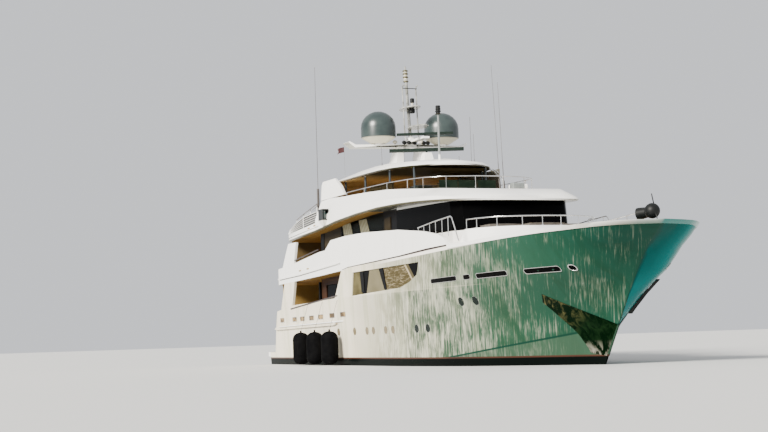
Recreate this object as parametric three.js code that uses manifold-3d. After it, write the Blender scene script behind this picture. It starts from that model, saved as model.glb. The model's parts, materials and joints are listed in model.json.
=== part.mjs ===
// Motor yacht of three decks, 39.6 m long and 7.9 m wide, modelled at full size in millimetres.
// X runs forward to the bow, Y to port and Z up. The origin lies amidships on the centreline at
// the design waterline. The round forefoot, keel, shafts and rudders below Z = 0 are included.

import * as THREE from 'three';
import { mergeVertices } from 'three/addons/utils/BufferGeometryUtils.js';
import Module from 'manifold-3d';

const wasm = await Module();
wasm.setup();

// Driving dimensions
const AFT = -18300;
const WALL = 130;
const GAP = 0.5;
const MAIN_DECK = 2150;
const FORE_DECK = 4350;
const PLATFORM_TOP = 700;
const SLAB = 150;
const CAP_HEIGHT = 130;
const SUN_FLOOR = 7700;
const HOUSE_SIDE = 2950;
const MAST_X = -4300;
const DOME_RADIUS = 900;
const DOME_Y = 1760;
const SCREW_Y = 1700;
const SCREW_Z = -1620;
const SCREW_RADIUS = 600;

const yacht = new THREE.Group();
const finishes = {
  white: [0xf4f2ec, 0.25, 0.0],
  glass: [0x0d0f12, 0.06, 0.0],
  steel: [0xc8ccce, 0.22, 1.0],
  dome: [0xaab8ba, 0.35, 0.0],
  dark: [0x17191a, 0.6, 0.0],
  teak: [0xa9834f, 0.7, 0.0],
  bronze: [0xa87c45, 0.35, 1.0],
  grey: [0x64716c, 0.45, 0.0],
  cloth: [0xe8e2d2, 0.85, 0.0],
  rubber: [0x0e0e0f, 0.8, 0.0],
};

// Solid helpers

function solid(geometry) {
  const bare = geometry.clone();
  bare.deleteAttribute('normal');
  bare.deleteAttribute('uv');
  const merged = mergeVertices(bare, 1e-3);
  const position = merged.getAttribute('position');
  return new wasm.Manifold(new wasm.Mesh({
    numProp: 3,
    vertProperties: new Float32Array(position.array),
    triVerts: new Uint32Array(merged.index.array),
  }));
}

function geometryOf(body) {
  const mesh = body.getMesh();
  const geometry = new THREE.BufferGeometry();
  geometry.setAttribute('position', new THREE.BufferAttribute(new Float32Array(mesh.vertProperties), 3));
  geometry.setIndex(new THREE.BufferAttribute(new Uint32Array(mesh.triVerts), 1));
  geometry.computeVertexNormals();
  return geometry;
}

function add(name, body, finish) {
  const [color, roughness, metalness] = finishes[finish];
  const material = new THREE.MeshStandardMaterial({ color, roughness, metalness });
  const mesh = new THREE.Mesh(geometryOf(body), material);
  mesh.name = name;
  yacht.add(mesh);
}

function join(bodies) {
  return bodies.reduce((sum, body) => sum.add(body));
}

function mirror(body) {
  return body.mirror([0, 1, 0]);
}

function indexed(points, triangles) {
  let volume = 0;
  for (const [a, b, c] of triangles) {
    const p = points[a];
    const q = points[b];
    const r = points[c];
    volume += p[0] * (q[1] * r[2] - q[2] * r[1]);
    volume += p[1] * (q[2] * r[0] - q[0] * r[2]);
    volume += p[2] * (q[0] * r[1] - q[1] * r[0]);
  }
  const faces = volume > 0 ? triangles : triangles.map(([a, b, c]) => [a, c, b]);
  return new wasm.Manifold(new wasm.Mesh({
    numProp: 3,
    vertProperties: new Float32Array(points.flat()),
    triVerts: new Uint32Array(faces.flat()),
  }));
}

// A body lofted through rings of equal count, where cap gives the triangles of an end ring
function loft(rings, cap) {
  const count = rings[0].length;
  const triangles = [];
  for (let i = 0; i + 1 < rings.length; i += 1) {
    for (let j = 0; j < count; j += 1) {
      const a = i * count + j;
      const b = i * count + ((j + 1) % count);
      triangles.push([a, b, b + count], [a, b + count, a + count]);
    }
  }
  const last = (rings.length - 1) * count;
  for (const [a, b, c] of cap) {
    triangles.push([a, c, b], [last + a, last + b, last + c]);
  }
  return indexed(rings.flat(), triangles);
}

// Ring from a half section that starts and ends on the centreline, given to starboard
function wholeRing(half) {
  const port = half.slice(1, -1).reverse().map(([x, y, z]) => [x, -y, z]);
  return half.concat(port);
}

function wholeCap(halfCount) {
  const total = 2 * halfCount - 2;
  const cap = [[0, 1, total - 1]];
  for (let i = 1; i + 2 < halfCount; i += 1) {
    const p = total - i;
    cap.push([i, i + 1, p], [i + 1, p - 1, p]);
  }
  cap.push([halfCount - 2, halfCount - 1, halfCount]);
  return cap;
}

// Sections across the ship as [x, [y, z], ...], from bottom centre to top centre
function sections(list) {
  const rings = list.map(([x, ...half]) => wholeRing(half.map(([y, z]) => [x, -y, z])));
  return loft(rings, wholeCap(list[0].length - 1));
}

function levels(outlines) {
  const flat = outlines[0].points.map(([x, y]) => new THREE.Vector2(x, y));
  const cap = THREE.ShapeUtils.triangulateShape(flat, []);
  return loft(outlines.map(({ z, points }) => points.map(([x, y]) => [x, y, z])), cap);
}

function outline(half) {
  return half.map(([x, y]) => [x, -y]).concat(half.slice().reverse().map(([x, y]) => [x, y]));
}

function shapeOf(points) {
  return new THREE.Shape(points.map(([x, y]) => new THREE.Vector2(x, y)));
}

function prism(points, depth) {
  return new THREE.ExtrudeGeometry(shapeOf(points), { depth, bevelEnabled: false });
}

function prismXZ(points, y0, y1) {
  const geometry = prism(points, y1 - y0);
  geometry.rotateX(Math.PI / 2);
  geometry.translate(0, y1, 0);
  return solid(geometry);
}

function prismYZ(points, x0, x1) {
  const geometry = prism(points, x1 - x0);
  const basis = new THREE.Matrix4().makeBasis(
    new THREE.Vector3(0, 1, 0),
    new THREE.Vector3(0, 0, 1),
    new THREE.Vector3(1, 0, 0),
  );
  geometry.applyMatrix4(basis);
  geometry.translate(x0, 0, 0);
  return solid(geometry);
}

function prismXY(points, z0, z1) {
  const geometry = prism(points, z1 - z0);
  geometry.translate(0, 0, z0);
  return solid(geometry);
}

function box(x0, x1, y0, y1, z0, z1) {
  const geometry = new THREE.BoxGeometry(x1 - x0, y1 - y0, z1 - z0);
  geometry.translate((x0 + x1) / 2, (y0 + y1) / 2, (z0 + z1) / 2);
  return solid(geometry);
}

function rod(from, to, radius, sides = 8, endRadius = radius) {
  const a = new THREE.Vector3(...from);
  const b = new THREE.Vector3(...to);
  const length = a.distanceTo(b);
  const geometry = new THREE.CylinderGeometry(endRadius, radius, length, sides);
  const up = new THREE.Vector3(0, 1, 0);
  const turn = new THREE.Quaternion().setFromUnitVectors(up, b.clone().sub(a).normalize());
  geometry.applyQuaternion(turn);
  const middle = a.add(b).multiplyScalar(0.5);
  geometry.translate(middle.x, middle.y, middle.z);
  return solid(geometry);
}

function lathe(profile, sides, x, y, z) {
  const geometry = new THREE.LatheGeometry(profile.map(([r, h]) => new THREE.Vector2(r, h)), sides);
  geometry.rotateX(Math.PI / 2);
  geometry.translate(x, y, z);
  return solid(geometry);
}

// A round bar swept through points, mitred at each bend
function bar(points, radius, sides = 6) {
  const path = points.map((p) => new THREE.Vector3(...p));
  const rings = path.map((p, i) => {
    const tangent = new THREE.Vector3();
    if (i > 0) {
      tangent.add(p.clone().sub(path[i - 1]).normalize());
    }
    if (i + 1 < path.length) {
      tangent.add(path[i + 1].clone().sub(p).normalize());
    }
    tangent.normalize();
    const guide = Math.abs(tangent.z) > 0.9 ? new THREE.Vector3(1, 0, 0) : new THREE.Vector3(0, 0, 1);
    const across = new THREE.Vector3().crossVectors(guide, tangent).normalize();
    const over = new THREE.Vector3().crossVectors(tangent, across);
    const out = [];
    for (let k = 0; k < sides; k += 1) {
      const angle = (2 * Math.PI * k) / sides;
      const q = p.clone();
      q.addScaledVector(across, radius * Math.cos(angle)).addScaledVector(over, radius * Math.sin(angle));
      out.push([q.x, q.y, q.z]);
    }
    return out;
  });
  const cap = [];
  for (let k = 1; k + 1 < sides; k += 1) {
    cap.push([0, k, k + 1]);
  }
  return loft(rings, cap);
}

function along(table, x) {
  if (x <= table[0][0]) {
    return table[0][1];
  }
  for (let i = 0; i + 1 < table.length; i += 1) {
    const [x0, y0] = table[i];
    const [x1, y1] = table[i + 1];
    if (x <= x1) {
      return y0 + ((y1 - y0) * (x - x0)) / (x1 - x0);
    }
  }
  return table[table.length - 1][1];
}

// Smooth curve through table points, without overshoot
function smooth(xs, ys, x) {
  let i = 0;
  while (i + 2 < xs.length && x > xs[i + 1]) {
    i += 1;
  }
  const slope = (k) => (ys[k + 1] - ys[k]) / (xs[k + 1] - xs[k]);
  const tangent = (k) => {
    if (k === 0) {
      return slope(0);
    }
    if (k === xs.length - 1) {
      return slope(k - 1);
    }
    const a = slope(k - 1);
    const b = slope(k);
    return a * b <= 0 ? 0 : (2 * a * b) / (a + b);
  };
  const h = xs[i + 1] - xs[i];
  const t = (x - xs[i]) / h;
  const m0 = tangent(i) * h;
  const m1 = tangent(i + 1) * h;
  const t2 = t * t;
  const t3 = t2 * t;
  return (2 * t3 - 3 * t2 + 1) * ys[i] + (t3 - 2 * t2 + t) * m0 + (3 * t2 - 2 * t3) * ys[i + 1] + (t3 - t2) * m1;
}

// Hull form: half breadths of each level from amidships to the stem and from amidships aft
const FORE_T = [0, 0.2, 0.4, 0.55, 0.7, 0.8, 0.88, 0.94, 0.98, 1];
const AFT_T = [0, 0.3, 0.6, 0.85, 1];
const LEVELS = [
  {
    stem: 13900,
    fore: [90, 90, 90, 90, 80, 70, 60, 50, 40, 30],
    aft: [90, 90, 90, 90, 90],
    foreZ: [-1900, -1900, -1880, -1850, -1780, -1700, -1620, -1500, -1400, -1300],
    aftZ: [-1900, -1830, -1420, -940, -700],
  },
  {
    stem: 14450,
    fore: [2500, 2400, 2100, 1750, 1250, 850, 500, 250, 100, 30],
    aft: [2500, 2600, 2700, 2700, 2650],
    foreZ: [-1450, -1430, -1380, -1300, -1180, -1060, -930, -820, -740, -700],
    aftZ: [-1450, -1380, -1080, -720, -560],
  },
  {
    stem: 16050,
    fore: [3680, 3640, 3420, 3020, 2300, 1620, 980, 500, 190, 30],
    aft: [3680, 3680, 3620, 3480, 3340],
    foreZ: [-120, 60, 320, 540, 820, 1070, 1260, 1370, 1430, 1450],
    aftZ: [-120, -150, -200, -250, -280],
  },
  {
    stem: 16230,
    fore: [3820, 3790, 3590, 3210, 2540, 1890, 1230, 690, 270, 30],
    aft: [3820, 3830, 3780, 3650, 3500],
    foreZ: [1700, 1700, 1700, 1700, 1700, 1700, 1700, 1700, 1700, 1700],
    aftZ: [1700, 1700, 1700, 1700, 1700],
  },
  {
    stem: 17030,
    fore: [3880, 3860, 3730, 3470, 2980, 2450, 1800, 1140, 450, 30],
    aft: [3880, 3890, 3840, 3720, 3570],
    foreZ: [2750, 2750, 2750, 2750, 2750, 2750, 2750, 2750, 2750, 2750],
    aftZ: [2750, 2750, 2750, 2750, 2750],
  },
  {
    stem: 17627,
    fore: [3922, 3914, 3846, 3672, 3310, 2896, 2370, 1716, 850, 30],
    aft: [3922, 3920, 3874, 3752, 3610],
    foreZ: [3420, 3470, 3500, 3500, 3500, 3500, 3500, 3500, 3500, 3500],
    aftZ: [3420, 3400, 3400, 3400, 3400],
  },
  {
    stem: 17850,
    fore: [3926, 3918, 3862, 3716, 3420, 3060, 2580, 1930, 1000, 30],
    aft: [3920, 3920, 3880, 3760, 3620],
    foreZ: [3780, 3780, 3780, 3780, 3780, 3780, 3780, 3780, 3780, 3780],
    aftZ: [3780, 3780, 3780, 3780, 3780],
  },
  {
    stem: 18640,
    fore: [3945, 3940, 3910, 3830, 3620, 3310, 2830, 2160, 1200, 30],
    aft: [3945, 3945, 3900, 3790, 3650],
    foreZ: [4600, 4600, 4600, 4600, 4600, 4600, 4600, 4600, 4600, 4600],
    aftZ: [4600, 4600, 4600, 4600, 4600],
  },
  {
    stem: 19770,
    fore: [3950, 3950, 3930, 3880, 3750, 3480, 2980, 2280, 1380, 30],
    aft: [3950, 3950, 3910, 3800, 3660],
    foreZ: [5400, 5400, 5400, 5400, 5400, 5400, 5400, 5400, 5400, 5400],
    aftZ: [5400, 5400, 5400, 5400, 5400],
  },
  {
    stem: 20400,
    fore: [3900, 3900, 3880, 3830, 3730, 3450, 2950, 2250, 1350, 30],
    aft: [3900, 3900, 3860, 3750, 3600],
    foreZ: [6700, 6700, 6700, 6700, 6700, 6700, 6700, 6700, 6700, 6700],
    aftZ: [6700, 6700, 6700, 6700, 6700],
  },
];
const AFT_STATIONS = [1, 0.92, 0.85, 0.72, 0.6, 0.45, 0.3, 0.15];
const FORE_STATIONS = [0, 0.1, 0.2, 0.3, 0.38, 0.46, 0.53, 0.6, 0.66, 0.71, 0.76, 0.8, 0.84, 0.88, 0.91, 0.94,
  0.96, 0.975, 0.988, 0.996, 1];
// The chine and the knuckle are sharp, and the section runs between them in smooth curves
const CHINE = 2;
const KNUCKLE = 5;

function fair(points) {
  const out = [];
  for (const [from, to] of [[CHINE, KNUCKLE], [KNUCKLE, LEVELS.length - 1]]) {
    const part = points.slice(from, to + 1);
    const zs = part.map((p) => p[2]);
    for (let k = 0; k + 1 < part.length; k += 1) {
      const middle = (zs[k] + zs[k + 1]) / 2;
      out.push(part[k], [0, 1].map((c) => smooth(zs, part.map((p) => p[c]), middle)).concat(middle));
    }
  }
  return [...points.slice(0, CHINE), ...out, points[points.length - 1]];
}

function hullForm(inset = 0) {
  const ring = (t, fore) => {
    const ts = fore ? FORE_T : AFT_T;
    const half = fair(LEVELS.map((level) => {
      const stem = level.stem - 1.3 * inset;
      const x = fore ? stem * t : (AFT + inset) * t;
      const y = smooth(ts, fore ? level.fore : level.aft, t) - inset;
      const z = smooth(ts, fore ? level.foreZ : level.aftZ, t);
      return [x, -Math.max(y, 12), z];
    }));
    const keel = half[0];
    const top = half[half.length - 1];
    return wholeRing([[keel[0], 0, keel[2] - 10], ...half, [top[0], 0, top[2]]]);
  };
  const rings = AFT_STATIONS.map((t) => ring(t, false)).concat(FORE_STATIONS.map((t) => ring(t, true)));
  return loft(rings, wholeCap(2 * LEVELS.length - CHINE + 1));
}

// Half breadth of the hull at a place, for pieces that lie along its side
function halfBreadth(x, z) {
  const at = LEVELS.map((level) => {
    const fore = x >= 0;
    const t = fore ? Math.min(x / level.stem, 1) : x / AFT;
    const ts = fore ? FORE_T : AFT_T;
    return {
      y: smooth(ts, fore ? level.fore : level.aft, t),
      z: smooth(ts, fore ? level.foreZ : level.aftZ, t),
    };
  });
  return along(at.map((p) => [p.z, p.y]), z);
}

// Lines of the side view
const BAND_LOW = [[-16920, 4470], [-11120, 4580], [-7810, 4660], [-4290, 4780], [-3510, 4870], [3300, 5010],
  [6470, 5120], [8670, 5175]];
const SHEER = [[8670, 5175], [9570, 5200], [13580, 5265], [15590, 5305], [17300, 5335], [18500, 5380],
  [20500, 5440]];
const BAND_TOP = [[-16970, 5330], [-15910, 5360], [-12820, 5480], [-7770, 5920], [-6890, 5940], [-6030, 6410],
  [-3880, 6480], [-1120, 6460], [3150, 6270], [6140, 5990], [7750, 5740], [8350, 5550], [8650, 5210]];
const SUN_LOW = [[-14540, 6830], [-12220, 6940], [-8520, 7080], [-5390, 7300], [-3430, 7400], [-470, 7470],
  [1710, 7480], [5090, 7360], [8200, 7210]];

// Sun deck stations as [x, half breadth at the lip, half breadth at the top, top]
const sunStations = [
  [-14450, 3150, 3150, 7140], [-14300, 3420, 3420, 7200], [-13700, 3600, 3600, 7250], [-11600, 3680, 3680, 7350],
  [-8950, 3740, 3700, 7530], [-8900, 3745, 3330, 8680], [-7500, 3790, 3330, 8720], [-5400, 3850, 3340, 8620],
  [-2400, 3880, 3340, 8530], [600, 3890, 3340, 8390], [3100, 3880, 3300, 8180], [4900, 3820, 3200, 8010],
  [6000, 3740, 2950, 7930], [6700, 3560, 2700, 7850], [7300, 3330, 2400, 7700], [7700, 2950, 2050, 7560],
  [8000, 2250, 1500, 7470], [8200, 900, 600, 7400],
];
const SUN_BASE = sunStations.map(([x]) => [x, along(SUN_LOW, x)]);

function strip(table, x0, x1, rise = 0) {
  const inside = table.filter(([x]) => x > x0 && x < x1).map(([x, z]) => [x, z + rise]);
  return [[x0, along(table, x0) + rise], ...inside, [x1, along(table, x1) + rise]];
}

// Hull with raised sides, deck wells, stern steps and the flush foredeck
const hullFull = hullForm(0);
const hullInner = hullForm(WALL);
const hullTop = [
  [-20000, PLATFORM_TOP],
  [-17050, PLATFORM_TOP],
  [-16100, 2560],
  [-15840, 3010],
  [-14970, 3090],
  [-14170, 4350],
  ...strip(BAND_LOW, -14050, -12120, -GAP),
  [-12760, 3260],
  [-9110, 3330],
  [-5620, 3420],
  ...strip(BAND_LOW, -4470, 8670, -GAP),
  ...strip(SHEER, 8671, 20400, -CAP_HEIGHT),
];
const sideKeep = prismXZ([[-20000, -3000], [20400, -3000], ...hullTop.slice().reverse()], -6000, 6000);
const WINDOW = [[-3120, 3450], [3250, 3610], [4340, 3820], [5220, 4110], [5500, 4660], [-2850, 4600]];
const steps = [[-17400, PLATFORM_TOP]];
for (let i = 0; i < 6; i += 1) {
  steps.push([-17050 + i * 260, PLATFORM_TOP + i * 241.7], [-17050 + i * 260, PLATFORM_TOP + (i + 1) * 241.7]);
}
steps.push([-15300, MAIN_DECK], [-15300, 4000], [-17400, 4000]);
const rubBand = [[-16400, 2010], [-15900, 1960], [-5900, 2050], [-5450, 2120], [-5900, 2240], [-15900, 2130]];
const rub = hullForm(-100).subtract(hullForm(60)).intersect(prismXZ(rubBand, -6000, 6000));
const garage = box(-17400, -15300, -1450, 1450, 950, 1950);
let hull = hullFull.intersect(sideKeep);
hull = hull.subtract(hullInner.intersect(box(-15700, 6300, -5000, 5000, MAIN_DECK, 7000)));
hull = hull.subtract(hullForm(150).intersect(box(8660, 19700, -5000, 5000, FORE_DECK, 7000)));
hull = hull.subtract(prismXZ(WINDOW, -4500, -3000)).subtract(prismXZ(WINDOW, 3000, 4500));
hull = hull.subtract(prismXZ(steps, -3080, -1950)).subtract(prismXZ(steps, 1950, 3080));
hull = hull.subtract(garage);
hull = hull.subtract(rod([12300, -4000, -650], [12300, 4000, -650], 280, 14));
hull = hull.add(rub.intersect(box(-20000, -5000, -6000, 6000, 1900, 2300)));

// Stern tube and strut of each shaft, welded to the bottom
for (const side of [-1, 1]) {
  const y = side * SCREW_Y;
  hull = hull.add(rod([-12600, y, SCREW_Z + 210], [-9000, y, SCREW_Z + 460], 120, 12));
  const barrel = rod([-15010, y, SCREW_Z + 42], [-14710, y, SCREW_Z + 63], 120, 12);
  const bore = rod([-15060, y, SCREW_Z + 38.5], [-14660, y, SCREW_Z + 66.5], 68, 12);
  const legs = [-1, 1].map((lean) => {
    const foot = [-14860, y + lean * 60, SCREW_Z + 110];
    return rod(foot, [-14760, y + lean * 420, -700], 45, 6);
  });
  hull = hull.add(join([barrel, ...legs])).subtract(bore);
}

// The raised sides, each with its wing to the house, and the bow bulwark stand on the deck edges
const midships = (gap) => box(-15700 + gap, 6300 - gap, -6000, 6000, MAIN_DECK + gap, 7000);
const foreships = (gap) => box(8660 + gap, 21000, -6000, 6000, FORE_DECK + gap, 7000);
const toStarboard = box(-20000, 21000, -6000, -GAP / 2, -3000, 8000);
const raised = hull.intersect(midships(GAP));
const bulwark = hull.intersect(foreships(GAP));
add('hull', hull.subtract(midships(0)).subtract(foreships(0)), 'white');
const wingSide = [[-4380, MAIN_DECK + GAP], [-4300, MAIN_DECK + GAP], ...strip(BAND_LOW, -4380, -4300, -GAP).reverse()];
const wing = prismXZ(wingSide, -3900, -2901).intersect(hullForm(60)).subtract(box(-4500, -4200, -3620, -2990, 2250, 4200));
add('topside_stbd', raised.intersect(toStarboard).add(wing), 'white');
add('topside_port', raised.intersect(mirror(toStarboard)).add(mirror(wing)), 'white');
add('bow_bulwark_stbd', bulwark.intersect(toStarboard), 'white');
add('bow_bulwark_port', bulwark.intersect(mirror(toStarboard)), 'white');

// Cap rail round the bow bulwark
const capBand = [...strip(SHEER, 8680, 20400, GAP - CAP_HEIGHT), ...strip(SHEER, 8680, 20400, 20).reverse()];
const capRail = hullForm(-25).subtract(hullForm(190)).intersect(prismXZ(capBand, -6000, 6000));
add('cap_rail', capRail, 'white');

// Bathing platform and the hinged door of the stern locker
const platform = outline([[-18302, 3280], [-19300, 3200], [-19650, 2900], [-19800, 2300]]);
add('swim_platform', prismXY(platform, 450, PLATFORM_TOP), 'teak');
const doorSlope = (1850 / 800);
const doorFace = (z) => -17050 + (z - PLATFORM_TOP) / doorSlope;
const doorPanel = [[doorFace(850) - 8, 850], [doorFace(2050) - 8, 2050], [doorFace(2050) - 68, 2050],
  [doorFace(850) - 68, 850]];
add('stern_door', prismXZ(doorPanel, -1560, 1560), 'white');

// Main deck house: aft bulkhead and side walls
const houseOuter = box(-10400, -4300, -2900, 2900, 1000, 6000);
const houseInner = box(-10320, -4000, -2820, 2820, 900, 6100);
const mainKeep = prismXZ([
  [-11000, MAIN_DECK + GAP], [-4200, MAIN_DECK + GAP], ...strip(BAND_LOW, -11000, -4200, -GAP).reverse(),
], -6000, 6000);
let mainHouse = houseOuter.subtract(houseInner).intersect(mainKeep);
mainHouse = mainHouse.subtract(box(-10500, -10200, -1000, 1000, 2000, 4250));
for (const side of [-1, 1]) {
  const y0 = Math.min(side * 2700, side * 3000);
  mainHouse = mainHouse.subtract(box(-9700, -7500, y0, y0 + 300, 2900, 4250));
  mainHouse = mainHouse.subtract(box(-7200, -5100, y0, y0 + 300, 2900, 4250));
}
add('main_house', mainHouse, 'white');
for (const [name, side] of [['saloon_door_stbd', -1], ['saloon_door_port', 1]]) {
  const y0 = Math.min(side * 4, side * 1060);
  const frame = box(-10450, -10408, y0, y0 + 1056, MAIN_DECK + 8, 4300);
  add(name, frame, 'glass');
}

// Saloon windows in the raised side, one pane each
const paneForm = hullForm(45).subtract(hullForm(65));
const inner = WINDOW.map(([x, z], i) => {
  const dx = [6, -3, -5, -6, -8, 8][i];
  const dz = [5, 5, 6, 3, -5, -5][i];
  return [x + dx, z + dz];
});
add('saloon_glass_stbd', paneForm.intersect(prismXZ(inner, -4500, -3000)), 'glass');
add('saloon_glass_port', paneForm.intersect(prismXZ(inner, 3000, 4500)), 'glass');

// Upper deck: slab, high side band and the two aft pillars
const upperPlan = [[8650, 4400], [-15000, 4400]];
for (let i = 0; i <= 6; i += 1) {
  const a = (Math.PI / 2) * (i / 6);
  upperPlan.push([-15100 - 1500 * Math.sin(a), 2450 + 1300 * Math.cos(a)]);
}
const upperKeep = prismXY(outline(upperPlan), 4000, 7600);
const upperInnerPlan = [[9300, 4300], [-15000, 4300]];
for (let i = 0; i <= 6; i += 1) {
  const a = (Math.PI / 2) * (i / 6);
  upperInnerPlan.push([-15100 - 1370 * Math.sin(a), 2330 + 1290 * Math.cos(a)]);
}
const upperHollow = prismXY(outline(upperInnerPlan), 4000, 7600);
const bandSide = [
  ...strip(BAND_LOW, -17000, 8649),
  ...strip(BAND_TOP, -12150, 8649).reverse(),
  ...strip(SUN_BASE, -13090, -11730, -GAP).reverse(),
  ...strip(BAND_TOP, -17000, -14280).reverse(),
];
let upper = hullFull.intersect(upperKeep).intersect(prismXZ(bandSide, -6000, 6000));
const wellSide = [...strip(BAND_LOW, -17000, 9300, SLAB), [9300, 9000], [-17000, 9000]];
upper = upper.subtract(hullInner.intersect(upperHollow).intersect(prismXZ(wellSide, -6000, 6000)));
add('upper_deck', upper, 'white');

// Upper house: sky lounge aft, wheelhouse forward with the raked front
const houseHalf = (grow, rake) => [
  [-10200 - grow, HOUSE_SIDE + grow],
  [5700, HOUSE_SIDE + grow],
  [6750 + 0.5 * grow + 0.7 * rake, 2880 + grow],
  [7250 + 0.8 * grow + 0.9 * rake, 2520 + 0.7 * grow],
  [7480 + grow + rake, 1900 + 0.4 * grow],
  [7620 + grow + rake, 900],
];
const houseBody = (grow) => levels([
  { z: 4400, points: outline(houseHalf(grow, 620)) },
  { z: 7600, points: outline(houseHalf(grow, 0)) },
]);
const upperHouseKeep = prismXZ([
  ...strip(BAND_LOW, -10600, 9300, SLAB + GAP),
  ...strip(SUN_BASE, -10600, 8400, -GAP).reverse(),
], -6000, 6000);
let upperHouse = houseBody(0).subtract(houseBody(-90)).intersect(upperHouseKeep);
const FRONT_SILL = 6020;
const SIDE_SILL = 6050;
const HEAD = 7180;
for (const side of [-1, 1]) {
  const y0 = Math.min(side * 2600, side * 3200);
  for (const [x0, x1] of [[-9000, -6900], [-6600, -4300], [-4000, -1500], [1150, 3600], [3850, 6200]]) {
    const low = x0 < 0 ? 5500 : SIDE_SILL;
    upperHouse = upperHouse.subtract(box(x0, x1, y0, y0 + 600, low, x0 < -8000 ? 6990 : HEAD));
  }
  upperHouse = upperHouse.subtract(box(-750, 50, y0, y0 + 600, 5240, 7150));
}
for (const [y0, y1] of [[-2350, -860], [-740, 740], [860, 2350]]) {
  upperHouse = upperHouse.subtract(box(6950, 9200, y0, y1, FRONT_SILL, HEAD));
}
upperHouse = upperHouse.subtract(box(-10400, -10000, -1000, 1000, 4600, 6850));
add('upper_house', upperHouse, 'white');

// One dark glass band wraps the wheelhouse outside its pillars
const glassKeep = prismXZ([[750, 5940], [9300, 5940], [9300, 7210], [750, 7380]], -6000, 6000);
add('wheelhouse_glass', houseBody(16).subtract(houseBody(2)).intersect(glassKeep)
  .intersect(prismXZ([[700, 5000], [8600, 5000], ...strip(SUN_BASE, 700, 8600, -GAP).reverse()], -6000, 6000)), 'glass');

// Doors of the upper deck
for (const [name, side] of [['wheelhouse_door_stbd', -1], ['wheelhouse_door_port', 1]]) {
  const y0 = Math.min(side * (HOUSE_SIDE + 8), side * (HOUSE_SIDE + 50));
  add(name, box(-790, -40 + 40, y0, y0 + 42, 5225, 7120), 'white');
}
for (const [name, side] of [['lounge_door_stbd', -1], ['lounge_door_port', 1]]) {
  const y0 = Math.min(side * 4, side * 1060);
  add(name, box(-10250, -10208, y0, y0 + 1056, 4800, 6850), 'glass');
}

// Sun deck with its bulwark and the deep brow over the wheelhouse
const sunBody = sections(sunStations.map(([x, y0, y1, top]) => {
  const low = along(SUN_LOW, x);
  const waist = low + 0.42 * (top - low);
  return [x, [0, low], [y0 - 110, low], [y0, low + 70], [y0 - 0.12 * (y0 - y1), waist], [y1, top], [0, top]];
}));
const sunWell = outline([[-9600, 3195], [2900, 3170], [3900, 3050], [4500, 2750], [4800, 2200]]);
const sunHollow = prismXY(sunWell, SUN_FLOOR, 9500);
let sundeck = sunBody.subtract(sunHollow);
add('sundeck', sundeck, 'white');

// Arch legs beside the hardtop
const ring = (x0, x1, y0, y1, z) => ({ z, points: [[x0, y0], [x1, y0], [x1, y1], [x0, y1]] });
const leg = levels([
  ring(-8950, -5350, -3325, -3215, 8730),
  ring(-9100, -6200, -3240, -3080, 9250),
  ring(-9250, -6900, -3160, -3022, 9560),
  ring(-9250, -7300, -3090, -3022, 9760),
]);
add('arch_leg_stbd', leg, 'white');
add('arch_leg_port', mirror(leg), 'white');

// Hardtop roof with its posts, the gearbox of the lower scanner and the camera post
const roofStations = [
  [-9600, 2200, 9600], [-9300, 2750, 9680], [-8500, 2960, 9830], [-7000, 3010, 10000], [-4800, 3010, 10140],
  [-3000, 2990, 10180], [-1500, 2900, 10130], [-400, 2640, 10040], [500, 2150, 9920], [1200, 1500, 9810],
  [1600, 900, 9730], [1750, 350, 9650],
];
let hardtop = sections(roofStations.map(([x, y, top]) => [
  x, [0, 9500], [y - 60, 9500], [y, 9560], [y - 0.16 * y, 9560 + 0.55 * (top - 9560)], [0, top],
]));
for (const [x, y] of [[-6900, 2650], [-4050, 2650], [-1100, 2500], [550, 1900]]) {
  for (const side of [-1, 1]) {
    hardtop = hardtop.add(rod([x, side * y, SUN_FLOOR + GAP], [x, side * y, 9520], 55, 8));
  }
}
const roofAt = (x) => along(roofStations.map(([s, , top]) => [s, top]), x);
const RADAR_X = -2250;
const RADAR_HIGH_X = -2400;
const radarBase = roofAt(RADAR_X) + 2;
hardtop = hardtop.add(levels([
  ring(RADAR_X - 330, RADAR_X + 330, -260, 260, radarBase - 60),
  ring(RADAR_X - 210, RADAR_X + 210, -190, 190, radarBase + 380),
]));
hardtop = hardtop.add(rod([-100, -250, roofAt(-100) - 80], [-100, -250, 12250], 55, 8));
hardtop = hardtop.add(rod([-100, -250, 12200], [-100, -250, 12620], 115, 10));
add('hardtop', hardtop, 'white');

// Mast with spreader wing, pole, hooked uprights and light platforms
const mastParts = [];
for (const side of [-1, 1]) {
  mastParts.push(levels([
    ring(MAST_X - 1050, MAST_X + 100, side * 660 - 200, side * 660 + 200, 10190),
    ring(MAST_X - 500, MAST_X + 115, side * 560 - 160, side * 560 + 160, 11120),
  ]));
  mastParts.push(bar([[-4070, side * 375, 11150], [-4260, side * 375, 14150], [-4200, side * 375, 14240],
    [-4000, side * 375, 14250]], 38, 6));
  mastParts.push(rod([MAST_X, side * DOME_Y, 11150], [MAST_X, side * DOME_Y, 11240], 220, 12));
}
mastParts.push(prismYZ([[-3000, 11050], [0, 11050], [3000, 11050], [3330, 11330], [3260, 11370], [2960, 11190],
  [0, 11190], [-2960, 11190], [-3260, 11370], [-3330, 11330]], MAST_X - 400, MAST_X + 400)
  .warp((p) => { p[0] -= 0.19 * Math.abs(p[1]); }));
mastParts.push(rod([MAST_X, 0, 10900], [MAST_X, 0, 11560], 360, 12, 240));
mastParts.push(rod([MAST_X, 0, 11500], [MAST_X - 340, 0, 14650], 90, 10, 75));
mastParts.push(rod([MAST_X - 339, 0, 14640], [MAST_X - 400, 0, 15350], 70, 8, 40));
const shelf = [[-5300, 40], [-4900, 330], [-4200, 470], [-3600, 330], [-3240, 60]];
mastParts.push(prismXY(outline(shelf), 13060, 13120));
mastParts.push(prismXY(outline(shelf.map(([x, y]) => [x + 950, y])), 11960, 12020));
mastParts.push(box(MAST_X - 100, MAST_X + 2080, -170, 170, 11290, 11390));
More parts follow.
